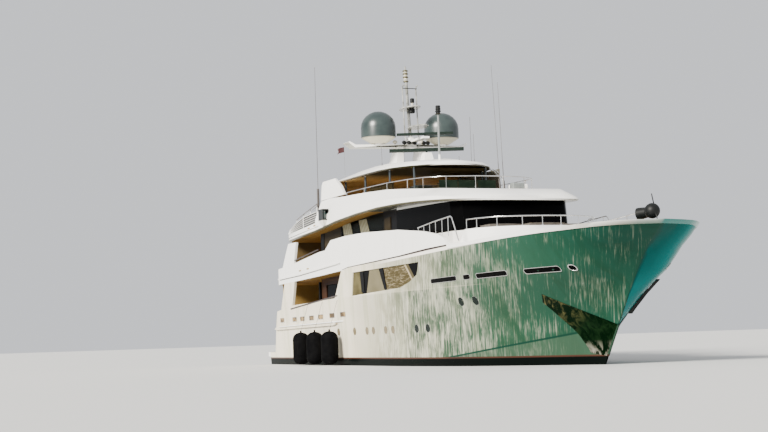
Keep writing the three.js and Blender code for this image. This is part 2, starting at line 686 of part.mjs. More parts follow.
add('mast', join(mastParts), 'white');

// Satellite domes
const domeProfile = [[0, -398], [400, -398], [690, -230], [DOME_RADIUS, -100], [DOME_RADIUS, 400]];
for (let i = 1; i <= 6; i += 1) {
  const a = (Math.PI / 2) * (i / 6);
  domeProfile.push([i === 6 ? 0 : DOME_RADIUS * Math.cos(a), 400 + 850 * Math.sin(a)]);
}
for (const [name, side] of [['dome_stbd', -1], ['dome_port', 1]]) {
  add(name, lathe(domeProfile, 24, MAST_X, side * DOME_Y, 11642), 'dome');
}

// Radar scanners, each on its spindle
const scanner = (x, z, length, height, depth) => join([
  rod([0, 0, z - 60], [0, 0, z + 30], 42, 10),
  prismXZ([[-depth / 2, z], [depth / 2, z + 20], [depth / 2, z + height - 20],
    [-depth / 2, z + height]], -length / 2, length / 2),
]).rotate([0, 0, -21.8]).translate([x, 0, 0]);
add('radar_lower', scanner(RADAR_X, radarBase + 450, 3750, 190, 220), 'grey');
add('radar_upper', scanner(RADAR_HIGH_X, 11460, 2850, 150, 180), 'grey');

// Whip aerials
add('whip_aft', join([
  rod([-9330, -3350, 7630], [-9330, -3350, 9400], 70, 8),
  rod([-9330, -3350, 9350], [-9330, -3350, 16000], 22, 6, 12),
]), 'steel');
add('whips_forward', join([
  box(3950, 4250, 850, 1300, SUN_FLOOR + GAP, SUN_FLOOR + 60),
  rod([4100, 960, SUN_FLOOR + 50], [4000, 960, 8500], 45, 8),
  rod([4000, 960, 8450], [3550, 960, 14050], 20, 6, 10),
  rod([4100, 1180, SUN_FLOOR + 50], [4000, 1180, 8500], 45, 8),
  rod([4000, 1180, 8450], [3720, 1180, 13200], 20, 6, 10),
]), 'steel');

// Side lights in their housings
const lightBody = join([
  box(-7450, -6800, -4040, -3690, 7520, 8110),
  levels([ring(-7350, -6950, -3900, -3790, 7260), ring(-7450, -6800, -4040, -3700, 7522)]),
]).subtract(box(-7300, -6700, -3990, -3730, 7580, 8060));
add('side_light_stbd', lightBody.subtract(sunBody.translate([0, -1, 0])), 'white');
add('side_light_port', mirror(lightBody).subtract(sunBody.translate([0, 1, 0])), 'white');

// Louvred screens aft of the sun deck bulwark
function louvre() {
  const top = [[-13700, 7480], [-12600, 7790], [-11200, 8040], [-8960, 8170]];
  const low = [[-13900, 7255], [-13700, 7265], [-11600, 7370], [-8960, 7545]];
  const parts = [];
  const count = 6;
  for (let i = 0; i <= count; i += 1) {
    const f = i / count;
    const x0 = -13900 + f * 200;
    const z = (x) => along(low, x) + f * (along(top, x) - 55 - along(low, x));
    const under = [x0, -12600, -11200, -8960].map((x) => [x, z(x)]);
    const over = under.map(([x, zz]) => [x, zz + (i === 0 ? 60 : 50)]).reverse();
    parts.push(prismXZ(under.concat(over), -3590, -3510));
  }
  for (const x of [-13640, -11300, -8985]) {
    parts.push(box(x - 22, x + 22, -3580, -3520, along(low, x) + 20, along(top, x) - 10));
  }
  const hand = [[-12500, 7960], [-11200, 8200], [-8990, 8560]];
  parts.push(bar(hand.map(([x, z]) => [x, -3550, z]), 22));
  for (const x of [-12400, -11200, -10100, -9010]) {
    parts.push(rod([x, -3550, along(top, x) - 30], [x, -3550, along(hand, x)], 18, 6));
  }
  return join(parts);
}
add('louvre_stbd', louvre(), 'white');
add('louvre_port', mirror(louvre()), 'white');

// Foredeck trunk and its guard rail
const trunkLow = [[8672, 3350], [9700, 3250], [11100, 2750], [11900, 1700], [12150, 600]];
const trunkTop = [[8672, 3050], [9500, 2900], [10350, 2350], [10850, 1400], [10950, 500]];
add('trunk', levels([
  { z: FORE_DECK + GAP, points: outline(trunkLow) },
  { z: 5350, points: outline(trunkLow.map(([x, y], i) => [x - (i ? 250 : 0), y - 60])) },
  { z: 5880, points: outline(trunkTop) },
]), 'white');
const trunkRailPath = outline(trunkTop.map(([x, y], i) => [x - (i ? 60 : -60), y - 60]));
const railAt = (z) => trunkRailPath.map(([x, y]) => [x, y, z]);
const trunkRail = [bar(railAt(6300), 24, 5), bar(railAt(6100), 12, 4)];
for (const [x, y] of trunkRailPath) {
  trunkRail.push(rod([x, y, 5881], [x, y, 6300], 20, 5));
}
add('trunk_rail', join(trunkRail), 'steel');

// Handrail down each side from the upper deck to the bow
const handTop = [[5250, 6200], [7000, 6340], [8850, 6440], [9650, 5330]];
const handPath = handTop.map(([x, z]) => [x, -3800, z]);
const handRail = join([
  bar(handPath, 26, 6),
  bar([[6500, -3800, 6130], [8650, -3800, 6180], [9180, -3800, 5900]], 16, 5),
  ...[5300, 6300, 7300, 8250].map((x) => rod([x, -3840, along(BAND_TOP, x) + 12], [x, -3800, along(handTop, x)], 18, 5)),
  rod([8850, -3800, 5236], [8850, -3800, 6440], 18, 5),
]);
add('hand_rail_stbd', handRail, 'steel');
add('hand_rail_port', mirror(handRail), 'steel');

// Guard rail on the foredeck
const foreRailTop = [[13300, 900, 5760], [16380, 900, 5940]];
const foreRail = [bar(foreRailTop, 24)];
for (const x of [13320, 14080, 14840, 15600, 16360]) {
  const z = along(foreRailTop.map((p) => [p[0], p[2]]), x);
  foreRail.push(rod([x, 900, FORE_DECK + 1], [x, 900, z], 20, 6));
}
foreRail.push(bar([[13300, 900, 5100], [16380, 900, 5200]], 14, 4));
add('foredeck_rail', join(foreRail), 'steel');

// Rail round the sun deck, standing on its bulwark
const sunRailHalf = [[-5200, 3245], [-2700, 3250], [300, 3230], [2500, 3080], [3700, 2800], [4500, 2000],
  [4900, 700]];
const sunRailPath = outline(sunRailHalf);
const sunTopAt = (x) => along(sunStations.map(([s, , , top]) => [s, top]), x);
const sunRailZ = (x) => along([[-5200, 8800], [-2700, 8780], [300, 8740], [4900, 8620]], x);
const sunRailParts = [bar(sunRailPath.map(([x, y]) => [x, y, sunRailZ(x)]), 22, 5)];
for (const [x, y] of sunRailPath) {
  const foot = x > 2000 && x < 4800 ? SUN_FLOOR + 1 : sunTopAt(x) + 3;
  sunRailParts.push(rod([x, y, foot], [x, y, sunRailZ(x)], 18, 5));
}
add('sundeck_rail', join(sunRailParts), 'steel');

// Jackstaff with the black anchor ball
const ball = new THREE.SphereGeometry(300, 16, 10);
ball.translate(19000, 0, 5800);
add('jackstaff', join([
  rod([19350, 0, 5420], [19000, 0, 6450], 22, 6),
  solid(ball),
]), 'dark');
add('bow_lamp', join([
  rod([17850, 0, FORE_DECK + 24], [18330, 0, 5700], 50, 8),
  rod([18230, -150, 5740], [18620, 60, 5780], 240, 14, 200),
]), 'dark');

// Windlass on the foredeck
const drum = [[0, 0], [230, 0], [230, 160], [150, 200], [150, 320], [230, 360], [230, 420], [0, 420]];
add('windlass', join([
  box(15100, 15900, -820, 820, FORE_DECK + GAP, FORE_DECK + 120),
  lathe(drum, 14, 15500, -550, FORE_DECK + 100),
  lathe(drum, 14, 15500, 550, FORE_DECK + 100),
]), 'steel');

// Polished anchor plates and the stowed port anchor
const plate = [[14200, 2870], [16150, 1560], [15900, 1100], [15300, 330], [14550, 480], [14350, 1400], [13950, 2550]];
const plateForm = hullForm(-14).subtract(hullForm(-1));
add('anchor_plate_stbd', plateForm.intersect(prismXZ(plate, -4000, -60)), 'steel');
add('anchor_plate_port', plateForm.intersect(prismXZ(plate, 60, 4000)), 'steel');
const anchor = [[-70, 1200], [70, 1200], [90, 100], [250, 100], [300, 640], [430, 450], [430, -90], [200, -180],
  [-200, -180], [-430, -90], [-430, 450], [-300, 640], [-250, 100], [-90, 100]];
const anchorSide = anchor.map(([v, u]) => [14700 + 0.53 * u + 0.85 * v, 2300 + 0.85 * u - 0.53 * v]);
const anchorForm = hullForm(-130).subtract(hullForm(-15));
add('anchor_port', anchorForm.intersect(prismXZ(anchorSide, 60, 4000)), 'dark');

// Propellers with their shafts
function screw(y) {
  const parts = [
    rod([-15450, y, SCREW_Z + 11.2], [-12608, y, SCREW_Z + 209.6], 58, 10),
    rod([-15520, y, SCREW_Z + 6.3], [-15180, y, SCREW_Z + 30], 110, 12),
    rod([-15700, y, SCREW_Z - 6.3], [-15519, y, SCREW_Z + 6.3], 40, 12, 110),
  ];
  for (let i = 0; i < 5; i += 1) {
    const blade = new THREE.ExtrudeGeometry(shapeOf([[-60, 60], [-200, 300], [-190, 480], [-60, SCREW_RADIUS],
      [90, 580], [210, 420], [190, 220], [60, 60]]), { depth: 28, bevelEnabled: false });
    blade.translate(0, 0, -14);
    blade.rotateY(Math.PI / 2 - 0.6);
    blade.rotateX((i * 2 * Math.PI) / 5);
    blade.rotateY(-0.0698);
    blade.translate(-15350, y, SCREW_Z + 18);
    parts.push(solid(blade));
  }
  return join(parts);
}
add('propeller_stbd', screw(-SCREW_Y), 'bronze');
add('propeller_port', screw(SCREW_Y), 'bronze');

// Rudders and stabiliser fins
function rudder(y) {
  const blade = prismXY([[-17150, y], [-16700, y - 60], [-16350, y - 55], [-16250, y], [-16350, y + 55],
    [-16700, y + 60]], -1980, -860);
  return join([blade, rod([-16550, y, -870], [-16550, y, -765], 60, 10)]);
}
add('rudder_stbd', rudder(-SCREW_Y), 'dark');
add('rudder_port', rudder(SCREW_Y), 'dark');
function fin() {
  const blade = prismXY([[-450, 0], [420, 0], [340, 900], [-380, 900]], -45, 45);
  return blade.add(rod([0, -60, 0], [0, 20, 0], 70, 10));
}
const finPort = fin().rotate([-35, 0, 0]).translate([-800, 2955, -1055]);
add('fin_port', finPort, 'dark');
add('fin_stbd', mirror(finPort), 'dark');

// Black fenders hung along the starboard side
const fenderProfile = [[0, 0], [200, 25], [380, 150], [440, 330], [440, 1370], [380, 1550], [200, 1675],
  [0, 1700]];
[-9800, -7500, -5200].forEach((x, i) => {
  const y = -(halfBreadth(x, 2100) + 100 + 465);
  add(`fender_${i + 1}`, join([
    lathe(fenderProfile, 16, x, y, 60),
    bar([[x, y, 1740], [x, -(halfBreadth(x, 3300) + 30), 3330]], 14, 6),
  ]), 'rubber');
});

// Aft deck seat and table, and the bar under the hardtop
add('aft_sofa', join([
  box(-15700, -15000, -1700, 1700, MAIN_DECK + GAP, 2570),
  box(-15700, -15480, -1700, 1700, 2560, 2980),
]), 'cloth');
add('aft_table', join([
  box(-14300, -12900, -950, 950, 2830, 2890),
  box(-13850, -13350, -300, 300, MAIN_DECK + GAP, 2840),
]), 'teak');
add('sundeck_bar', join([
  box(-1700, -900, -1100, 1100, SUN_FLOOR + GAP, 8720),
  box(-1800, -800, -1200, 1200, 8710, 8770),
]), 'white');
add('sundeck_seat', join([
  box(1700, 3300, -1500, 300, SUN_FLOOR + GAP, 8120),
  box(3100, 3300, -1500, 300, 8110, 8520),
]), 'cloth');

export default yacht;
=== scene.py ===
import json
import math

import bpy
from mathutils import Matrix, Vector

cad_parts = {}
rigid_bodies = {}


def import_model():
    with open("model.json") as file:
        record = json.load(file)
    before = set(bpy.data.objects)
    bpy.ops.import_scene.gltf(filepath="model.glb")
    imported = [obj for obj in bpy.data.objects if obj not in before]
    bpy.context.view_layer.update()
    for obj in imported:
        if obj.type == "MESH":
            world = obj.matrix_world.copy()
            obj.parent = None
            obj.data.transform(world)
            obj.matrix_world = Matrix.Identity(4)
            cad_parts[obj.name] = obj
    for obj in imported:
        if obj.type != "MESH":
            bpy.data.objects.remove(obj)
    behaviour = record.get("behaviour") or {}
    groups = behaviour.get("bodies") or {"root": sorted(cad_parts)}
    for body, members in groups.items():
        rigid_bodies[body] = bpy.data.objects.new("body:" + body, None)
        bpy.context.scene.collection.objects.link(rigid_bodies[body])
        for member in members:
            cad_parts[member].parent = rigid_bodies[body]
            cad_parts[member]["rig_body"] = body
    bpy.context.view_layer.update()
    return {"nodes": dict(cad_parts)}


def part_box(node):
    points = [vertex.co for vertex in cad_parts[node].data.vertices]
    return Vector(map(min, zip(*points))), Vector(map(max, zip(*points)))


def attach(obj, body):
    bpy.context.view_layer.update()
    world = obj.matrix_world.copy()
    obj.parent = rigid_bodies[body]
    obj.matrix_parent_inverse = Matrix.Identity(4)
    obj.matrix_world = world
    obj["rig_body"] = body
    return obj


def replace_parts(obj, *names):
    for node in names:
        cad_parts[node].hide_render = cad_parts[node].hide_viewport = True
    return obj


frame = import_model()
nodes = frame["nodes"]


# Camera, set low over the water off the starboard bow, where the photograph was taken from.
# A long lens: 75 mm on a 36 mm frame, 77 m from the middle of the yacht.
bearing, climb, lean = math.radians(158.240), math.radians(4.364), math.radians(-1.794)
ahead = Vector((math.cos(climb) * math.cos(bearing), math.cos(climb) * math.sin(bearing), math.sin(climb)))
level = ahead.cross(Vector((0, 0, 1))).normalized()
upright = level.cross(ahead)
right = level * math.cos(lean) + upright * math.sin(lean)
above = upright * math.cos(lean) - level * math.sin(lean)
lens = bpy.data.cameras.new("photograph")
lens.lens = 74.64
lens.sensor_width = 36
lens.clip_end = 2000
camera = bpy.data.objects.new("photograph", lens)
camera.matrix_world = Matrix((right, above, -ahead)).transposed().to_4x4()
camera.location = (70.903, -31.616, 1.346)
bpy.context.scene.collection.objects.link(camera)
bpy.context.scene.camera = camera


# Lanyards: 16 mm braided polyester, spliced round the cap rail at the top and through the eye of each
# fender below, so that the weight of the fender keeps them taut.
class Nodes:
    """Short ways to add and join the nodes of one tree."""

    def __init__(self, tree):
        self.tree = tree

    def set(self, node, sockets):
        for key, value in sockets.items():
            socket = node.inputs[key.replace("_", " ") if isinstance(key, str) else key]
            if isinstance(value, bpy.types.NodeSocket):
                self.tree.links.new(value, socket)
            elif socket.type == "RGBA" and len(value) == 3:
                socket.default_value = (*value, 1)
            else:
                socket.default_value = value

    def add(self, kind, sockets=None, **settings):
        node = self.tree.nodes.new(kind)
        for key, value in settings.items():
            setattr(node, key, value)
        self.set(node, sockets or {})
        return node

    def split(self, vector):
        return self.add("ShaderNodeSeparateXYZ", {0: vector}).outputs

    def axes(self):
        return self.split(self.add("ShaderNodeTexCoord").outputs["Object"])

    def place(self, stretch=(1, 1, 1), turn=(0, 0, 0)):
        here = self.add("ShaderNodeTexCoord").outputs["Object"]
        return self.add("ShaderNodeMapping", {"Vector": here, "Scale": stretch, "Rotation": turn}).outputs[0]

    def noise(self, vector=(1, 1, 1), scale=1.0, detail=3.0, rough=0.5, distortion=0.0, turn=(0, 0, 0)):
        """Noise over a vector, or over the place on the piece stretched by three factors."""
        if isinstance(vector, tuple):
            vector = self.place(vector, turn)
        return self.add("ShaderNodeTexNoise", {"Vector": vector, "Scale": scale, "Detail": detail,
                                               "Roughness": rough, "Distortion": distortion}).outputs[0]

    def fit(self, value, low, high, out_low=0.0, out_high=1.0, smooth=False):
        kind = "SMOOTHSTEP" if smooth else "LINEAR"
        return self.add("ShaderNodeMapRange", {0: value, 1: low, 2: high, 3: out_low, 4: out_high},
                        interpolation_type=kind).outputs[0]

    def sum(self, kind, a, b=0.0):
        return self.add("ShaderNodeMath", {0: a, 1: b}, operation=kind).outputs[0]

    def plus(self, a, b):
        return self.sum("ADD", a, b)

    def less(self, a, b):
        return self.sum("SUBTRACT", a, b)

    def times(self, a, b):
        return self.sum("MULTIPLY", a, b)

    def size(self, a):
        return self.sum("ABSOLUTE", a)

    def mix(self, factor, a, b, blend="MIX"):
        return self.add("ShaderNodeMix", {0: factor, 6: a, 7: b}, data_type="RGBA", blend_type=blend).outputs[2]

    def bump(self, height, strength, distance):
        sockets = {"Height": height, "Strength": strength, "Distance": distance}
        return self.add("ShaderNodeBump", sockets).outputs[0]


class Finish(Nodes):
    """A material under construction, with its Principled shader."""

    def __init__(self, name, rough=0.5, spec=0.5, **sockets):
        self.material = bpy.data.materials.new(name)
        self.material.use_nodes = True
        super().__init__(self.material.node_tree)
        self.finish(Roughness=rough, Specular_IOR_Level=spec, **sockets)

    def finish(self, **sockets):
        self.set(self.tree.nodes["Principled BSDF"], sockets)
        return self.material


def rest():
    if bpy.context.mode != "OBJECT":
        bpy.ops.object.mode_set(mode="OBJECT")
    bpy.ops.object.select_all(action="DESELECT")


def take(*pieces):
    """Select a piece, or several welded into the first."""
    rest()
    for piece in pieces:
        piece.select_set(True)
    bpy.context.view_layer.objects.active = pieces[0]
    if len(pieces) > 1:
        bpy.ops.object.join()
    return pieces[0]


def settle(pieces, name, material, body="yacht"):
    """Weld what is given into one piece with its place in its mesh, and give it its finish and its body."""
    piece = take(*pieces) if isinstance(pieces, list) else take(pieces)
    bpy.ops.object.transform_apply(location=True, rotation=True, scale=True)
    piece.name = name
    piece.data.name = name
    piece.data.materials.clear()
    piece.data.materials.append(material)
    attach(piece, body)
    return piece


def wire(points, radius):
    curve = bpy.data.curves.new("wire", "CURVE")
    curve.dimensions = "3D"
    curve.bevel_depth = radius
    curve.bevel_resolution = 2
    curve.use_fill_caps = True
    spline = curve.splines.new("POLY")
    spline.points.add(len(points) - 1)
    for point, place in zip(spline.points, points):
        point.co = (*place, 1)
    piece = bpy.data.objects.new("wire", curve)
    bpy.context.scene.collection.objects.link(piece)
    return piece


def cordage(name, color, pitch):
    rope = Finish(name, 0.85)
    lay = rope.add("ShaderNodeTexWave", {"Vector": rope.place((1, 1, 0.6)), "Scale": pitch, "Distortion": 0.6},
                   bands_direction="DIAGONAL").outputs["Fac"]
    tint = rope.mix(lay, [c * 0.6 for c in color], color)
    return rope.finish(Base_Color=tint, Normal=rope.bump(lay, 0.5, 0.003))


lanyard = cordage("lanyard", (0.05, 0.045, 0.035), 60.0)
fender_radius, eye_height = 0.44, 1.78
for i in (1, 2, 3):
    low, high = (Vector(c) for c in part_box(f"fender_{i}"))
    middle = (low.x + high.x) / 2
    top = Vector((middle, high.y - 0.012, high.z - 0.005))
    eye = Vector((middle, low.y + fender_radius, eye_height))
    line = wire([top.lerp(eye, k / 17) for k in range(18)], 0.008)
    settle(line, f"lanyard_{i}", lanyard)


# Hull: welded plate, faired and sprayed with gloss enamel. The lower hull, the raised sides and the bow
# bulwark are plates of one skin, so their edges are merged here. Antifouling covers what lies in the
# water, with a red-brown boot stripe over it.
def copied(source, name):
    copy = bpy.data.objects.new(name, source.data.copy())
    bpy.context.scene.collection.objects.link(copy)
    return copy


def every():
    bpy.ops.mesh.select_all(action="SELECT")


def smooth(angle):
    bpy.ops.object.shade_smooth_by_angle(angle=math.radians(angle))


def merged(name, members):
    """A copy of CAD parts as one piece in edit mode, with the points they share merged."""
    piece = take(*[copied(nodes[member], name) for member in members])
    bpy.ops.mesh.customdata_custom_splitnormals_clear()
    bpy.ops.object.mode_set(mode="EDIT")
    every()
    bpy.ops.mesh.remove_doubles(threshold=0.0008)
    return piece


def skin(name, members, material, angle=32):
    piece = merged(name, members)
    bpy.ops.object.mode_set(mode="OBJECT")
    smooth(angle)
    settle(piece, name, material, nodes[members[0]]["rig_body"])
    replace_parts(piece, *members)
    return piece


hull = Finish("hull enamel", 0.2)
x, y, z = hull.axes()
# Painted reflection: the white gloss paint is coloured along a ramp from warm cream aft to sea green and teal
# forward. Its edge wanders with noise, and above the knuckle the cream reaches further forward.
drift = hull.noise((0.16, 0.1, 0.35), detail=2.0)
strake = hull.times(hull.fit(z, 3.40, 3.46), hull.fit(x, 12.0, 9.0, 0.0, 2.8))
length = hull.less(hull.plus(x, hull.fit(drift, 0.0, 1.0, -2.5, 2.5)), strake)
length = hull.fit(length, -18.5, 20.0)
sea_reflection = hull.add("ShaderNodeValToRGB", {0: length})
reflection_stops = [(0.0, (0.76, 0.69, 0.56)), (0.36, (0.68, 0.62, 0.50)), (0.50, (0.28, 0.27, 0.19)),
         (0.60, (0.045, 0.075, 0.040)), (0.72, (0.020, 0.056, 0.030)), (0.84, (0.012, 0.056, 0.032)),
         (1.0, (0.001, 0.042, 0.026))]
while len(sea_reflection.color_ramp.elements) < len(reflection_stops):
    sea_reflection.color_ramp.elements.new(0.5)
for element, (at, color) in zip(sea_reflection.color_ramp.elements, reflection_stops):
    element.position = at
    element.color = (*color, 1)
# Painted glints: soft upright streaks of cream light forward of the cream part of the ramp, thinning near the
# bow.
slope = hull.less(x, hull.times(hull.size(y), 1.8))
fall = hull.add("ShaderNodeCombineXYZ", {0: hull.times(slope, 7.0), 2: hull.times(z, 1.1)})
glint_streak = hull.noise(fall.outputs[0], 1.0, 5.0, 0.68, 0.7)
gust = hull.noise((0.5, 0.3, 0.6), rough=0.6)
cut = hull.plus(hull.fit(gust, 0.36, 0.64, 0.57, 0.38), hull.fit(x, 10.0, 17.0, -0.05, 0.14))
glint = hull.times(hull.fit(hull.less(glint_streak, cut), -0.06, 0.28, smooth=True), hull.fit(length, 0.36, 0.50))
glint_cream = hull.mix(hull.fit(x, 5.0, 13.0), (0.48, 0.46, 0.37), (0.24, 0.27, 0.20))
color = hull.mix(hull.times(glint, 0.9), sea_reflection.outputs[0], glint_cream)
# Painted reflection of ripples: soft patches that darken the colour.
ripple_reflection = hull.fit(hull.noise((1.5, 0.5, 0.22), 1.0, 2.0, 0.5, 1.0, (0, 0.22, 0)), 0.45, 0.68, 0.0, 0.35, True)
color = hull.mix(ripple_reflection, color, (0.55, 0.62, 0.45), "MULTIPLY")
# Painted shade: darker below the chine forward of X 2, and a dark line along the chine crease.
chine = hull.plus(hull.times(x, hull.plus(hull.times(x, 0.0036), 0.0479)), -0.13)
over = hull.less(z, chine)
under = hull.times(hull.fit(over, 0.0, -0.05), hull.fit(x, 2.0, 7.0, 0.0, 0.55))
color = hull.mix(under, color, (0.045, 0.085, 0.052))
crease_shade = hull.times(hull.fit(hull.size(over), 0.055, 0.02), hull.fit(x, 0.0, 4.0))
color = hull.mix(crease_shade, color, (0.003, 0.03, 0.018))
knuckle_height = 3.43
# Painted highlight: a pale line along the knuckle, aft of X 11.5.
knuckle_highlight = hull.fit(hull.size(hull.less(z, knuckle_height)), 0.03, 0.01)
color = hull.mix(hull.times(knuckle_highlight, hull.fit(x, 11.5, 9.5, 0.0, 0.22)), color, (0.55, 0.50, 0.38))
band = hull.fit(hull.less(z, hull.times(x, 0.0244)), 4.80, 4.82)
color = hull.mix(hull.times(band, hull.fit(x, 0.0, 2.5)), color, (0.82, 0.78, 0.70))
# Painted reflection and shade on the port bow: teal from the sea, darker where the side turns away from the
# light.
face = hull.split(hull.add("ShaderNodeNewGeometry").outputs["Normal"])
port_bow = hull.times(hull.fit(face[1], 0.0, 0.2), hull.fit(x, 8.0, 16.0))
port_bow_light = hull.mix(hull.fit(face[1], 0.10, 0.42), (0.0, 0.045, 0.038), (0.0, 0.15, 0.145))
color = hull.mix(port_bow, color, port_bow_light)
boot_top, antifouling = 0.42, 0.35
color = hull.mix(hull.fit(z, boot_top, boot_top - 0.02), color, (0.055, 0.024, 0.016))
color = hull.mix(hull.fit(z, antifouling, antifouling - 0.02), color, (0.0025, 0.004, 0.0035))
sheen = hull.less(hull.fit(z, antifouling - 0.02, boot_top, 0.01, 0.11), hull.times(port_bow, 0.1))
hull_shell = skin("hull_shell", ["hull", "topside_stbd", "topside_port", "bow_bulwark_stbd", "bow_bulwark_port"],
                  hull.finish(Base_Color=color, Specular_IOR_Level=sheen), angle=28)


# Fittings of the hull: deck ports with polished frames let into the bulwark, oval ports over the chine
# and amber-lit square ports aft. Each is drawn flat and then laid on the plate it is bolted to.
sides = ((-1, "stbd"), (1, "port"))
beyond = 9


def shape(piece, test=lambda *_: True, kind="FACE"):
    """Go to edit mode with the faces or points selected that a test accepts."""
    take(piece)
    mesh = piece.data
    for parts in (mesh.vertices, mesh.edges, mesh.polygons):
        parts.foreach_set("select", [False] * len(parts))
    if kind == "FACE":
        for part in mesh.polygons:
            part.select = bool(test(part.center, part.normal))
    else:
        for part in mesh.vertices:
            part.select = bool(test(part.co))
    bpy.ops.object.mode_set(mode="EDIT")
    bpy.ops.mesh.select_mode(type=kind)


def lay_on(piece, side, *targets):
    """Lay a flat drawing on plates: X and Z stay, and the depth in Y becomes the height over the plate."""
    for point in piece.data.vertices:
        start = Vector((point.co.x, side * beyond, point.co.z))
        hits = [plate.ray_cast(start + Vector((0, 0, up)), Vector((0, -side, 0))) for plate in targets
                for up in (0, 0.004, -0.004)]
        hits = [(place.y * side, place, normal) for found, place, normal, _ in hits
                if found and place.y * side > 0]
        if not hits:
            raise ValueError(f"{piece.name}: nothing under {start}")
        _, place, normal = max(hits, key=lambda hit: hit[0])
        point.co = Vector((start.x, place.y, start.z)) + normal * point.co.y
    shape(piece)
    bpy.ops.mesh.normals_make_consistent(inside=False)
    rest()


def push(proud):
    bpy.ops.mesh.extrude_region_move(TRANSFORM_OT_translate={"value": (0, proud, 0)})


def frame_and_pane(rim, proud):
    """Inset the flat face being edited: its rim becomes a frame that stands proud, the rest a thin pane."""
    outer = bpy.context.object
    every()
    bpy.ops.mesh.inset(thickness=rim)
    bpy.ops.mesh.separate(type="SELECTED")
    every()
    push(proud)
    every()
    bpy.ops.mesh.bevel(offset=min(proud, rim) * 0.3, segments=2)
    bpy.ops.object.mode_set(mode="OBJECT")
    pane = next(o for o in bpy.context.selected_objects if o != outer)
    shape(pane)
    push(proud * 0.35)
    rest()
    return outer, pane


def slice_at(x):
    every()
    bpy.ops.mesh.bisect(plane_co=(x, 0, 0), plane_no=(1, 0, 0))


def stadium(width, height, rim, proud):
    rest()
    bpy.ops.mesh.primitive_circle_add(vertices=26, radius=height / 2, fill_type="NGON",
                                      rotation=(math.pi / 2, 0, 0))
    piece = bpy.context.object
    bpy.ops.object.transform_apply(rotation=True)
    for point in piece.data.vertices:
        point.co.x += math.copysign((width - height) / 2, point.co.x)
    bpy.ops.object.mode_set(mode="EDIT")
    count = round(width / 0.25)
    for k in range(1, count):
        slice_at(width * (k / count - 0.5))
    return frame_and_pane(rim, proud)


def rounded(width, height, corner, rim, proud):
    rest()
    bpy.ops.mesh.primitive_plane_add(size=1, rotation=(math.pi / 2, 0, 0))
    bpy.context.object.scale = (width, height, 1)
    bpy.ops.object.transform_apply(rotation=True, scale=True)
    bpy.ops.object.mode_set(mode="EDIT")
    bpy.ops.mesh.bevel(offset=corner, segments=3, affect="VERTICES")
    return frame_and_pane(rim, proud)


def spread(pattern, places):
    """Copies of a flat drawing at each place along the side; the drawing itself goes."""
    copies = [copied(pattern, pattern.name) for _ in places]
    for copy, (dx, dz, tilt) in zip(copies, places):
        for point in copy.data.vertices:
            point.co = (point.co.x + dx, point.co.y, point.co.z + dz + tilt * point.co.x)
    bpy.data.objects.remove(pattern)
    return copies


coat = Finish("polished steel", Metallic=1.0)
brush = coat.noise((3, 3, 40), 6.0, 4.0, 0.6)
soil = coat.noise(scale=2.4, detail=4.0, rough=0.6)
steel = coat.finish(Base_Color=coat.mix(coat.fit(soil, 0.35, 0.7), (0.80, 0.80, 0.79), (0.60, 0.59, 0.56)),
                    Roughness=coat.fit(brush, 0.3, 0.7, 0.14, 0.32))
coat = Finish("tinted glass", spec=0.015)
grime = coat.noise(scale=1.3, detail=4.0, rough=0.6)
tinted = coat.finish(Base_Color=coat.mix(grime, (0.0008, 0.0008, 0.001), (0.0025, 0.0025, 0.0025)),
                     Roughness=coat.fit(grime, 0.4, 0.8, 0.04, 0.12))
# Painted light: the square panes carry a patchy amber glow of lit cabins behind them.
coat = Finish("amber port glass", 0.12, 0.1)
glow = coat.fit(coat.noise((1, 1, 1.5), 3.0, 2.0), 0.4, 0.6)
amber_lit_glass = coat.finish(Base_Color=coat.mix(glow, (0.06, 0.035, 0.012), (0.30, 0.20, 0.08)))
# Painted reflection in the oval panes: tan with noise aft, near-black green forward of X 3.
coat = Finish("port glass", 0.1, 0.1)
color = coat.mix(coat.noise(scale=4.0), (0.10, 0.08, 0.045), (0.22, 0.18, 0.11))
port_glass = coat.finish(Base_Color=coat.mix(coat.fit(coat.axes()[0], 2.5, 3.5), color, (0.003, 0.008, 0.006)))
slots = [(7.95, 3.755, 2.5), (10.08, 3.775, 0.62), (12.02, 3.785, 2.3), (15.15, 3.80, 1.85)]
ovals = [(x, 1.70, 0) for x in (-5.4, -3.1, -1.40, -0.55, 1.03, 1.92, 4.6, 5.7)]
ovals += [(9.05, 2.77, 0), (10.15, 2.77, 0)]
squares = [(x, z, 0.008) for x, z in ((-14.9, 2.50), (-12.5, 2.50), (-11.1, 2.50), (-9.5, 2.51), (-7.98, 2.53),
                                      (-6.2, 2.56), (-4.57, 2.58))]
for side, tag in sides:
    frames, panes, ambers, lights = [], [], [], []
    kinds = [(stadium(width, 0.23, 0.02, 0.02), panes, [(x, z, 0.01)]) for x, z, width in slots]
    kinds += [(stadium(0.33, 0.38, 0.006, 0.008), lights, ovals),
              (stadium(0.30, 0.25, 0.03, 0.03), panes, [(16.53, 3.82, 0)]),
              (rounded(0.80, 0.26, 0.05, 0.022, 0.02), ambers, squares)]
    for (rim, pane), group, places in kinds:
        frames += spread(rim, places)
        group += spread(pane, places)
    for group, name, slot, material in ((frames, "port_frames", "steel", steel),
                                        (panes, "port_panes", "glass", tinted),
                                        (lights, "oval_ports", "glass", port_glass),
                                        (ambers, "amber_ports", "glass", amber_lit_glass)):
        for piece in group:
            lay_on(piece, side, hull_shell)
        settle(group, f"{name}_{tag}", material)


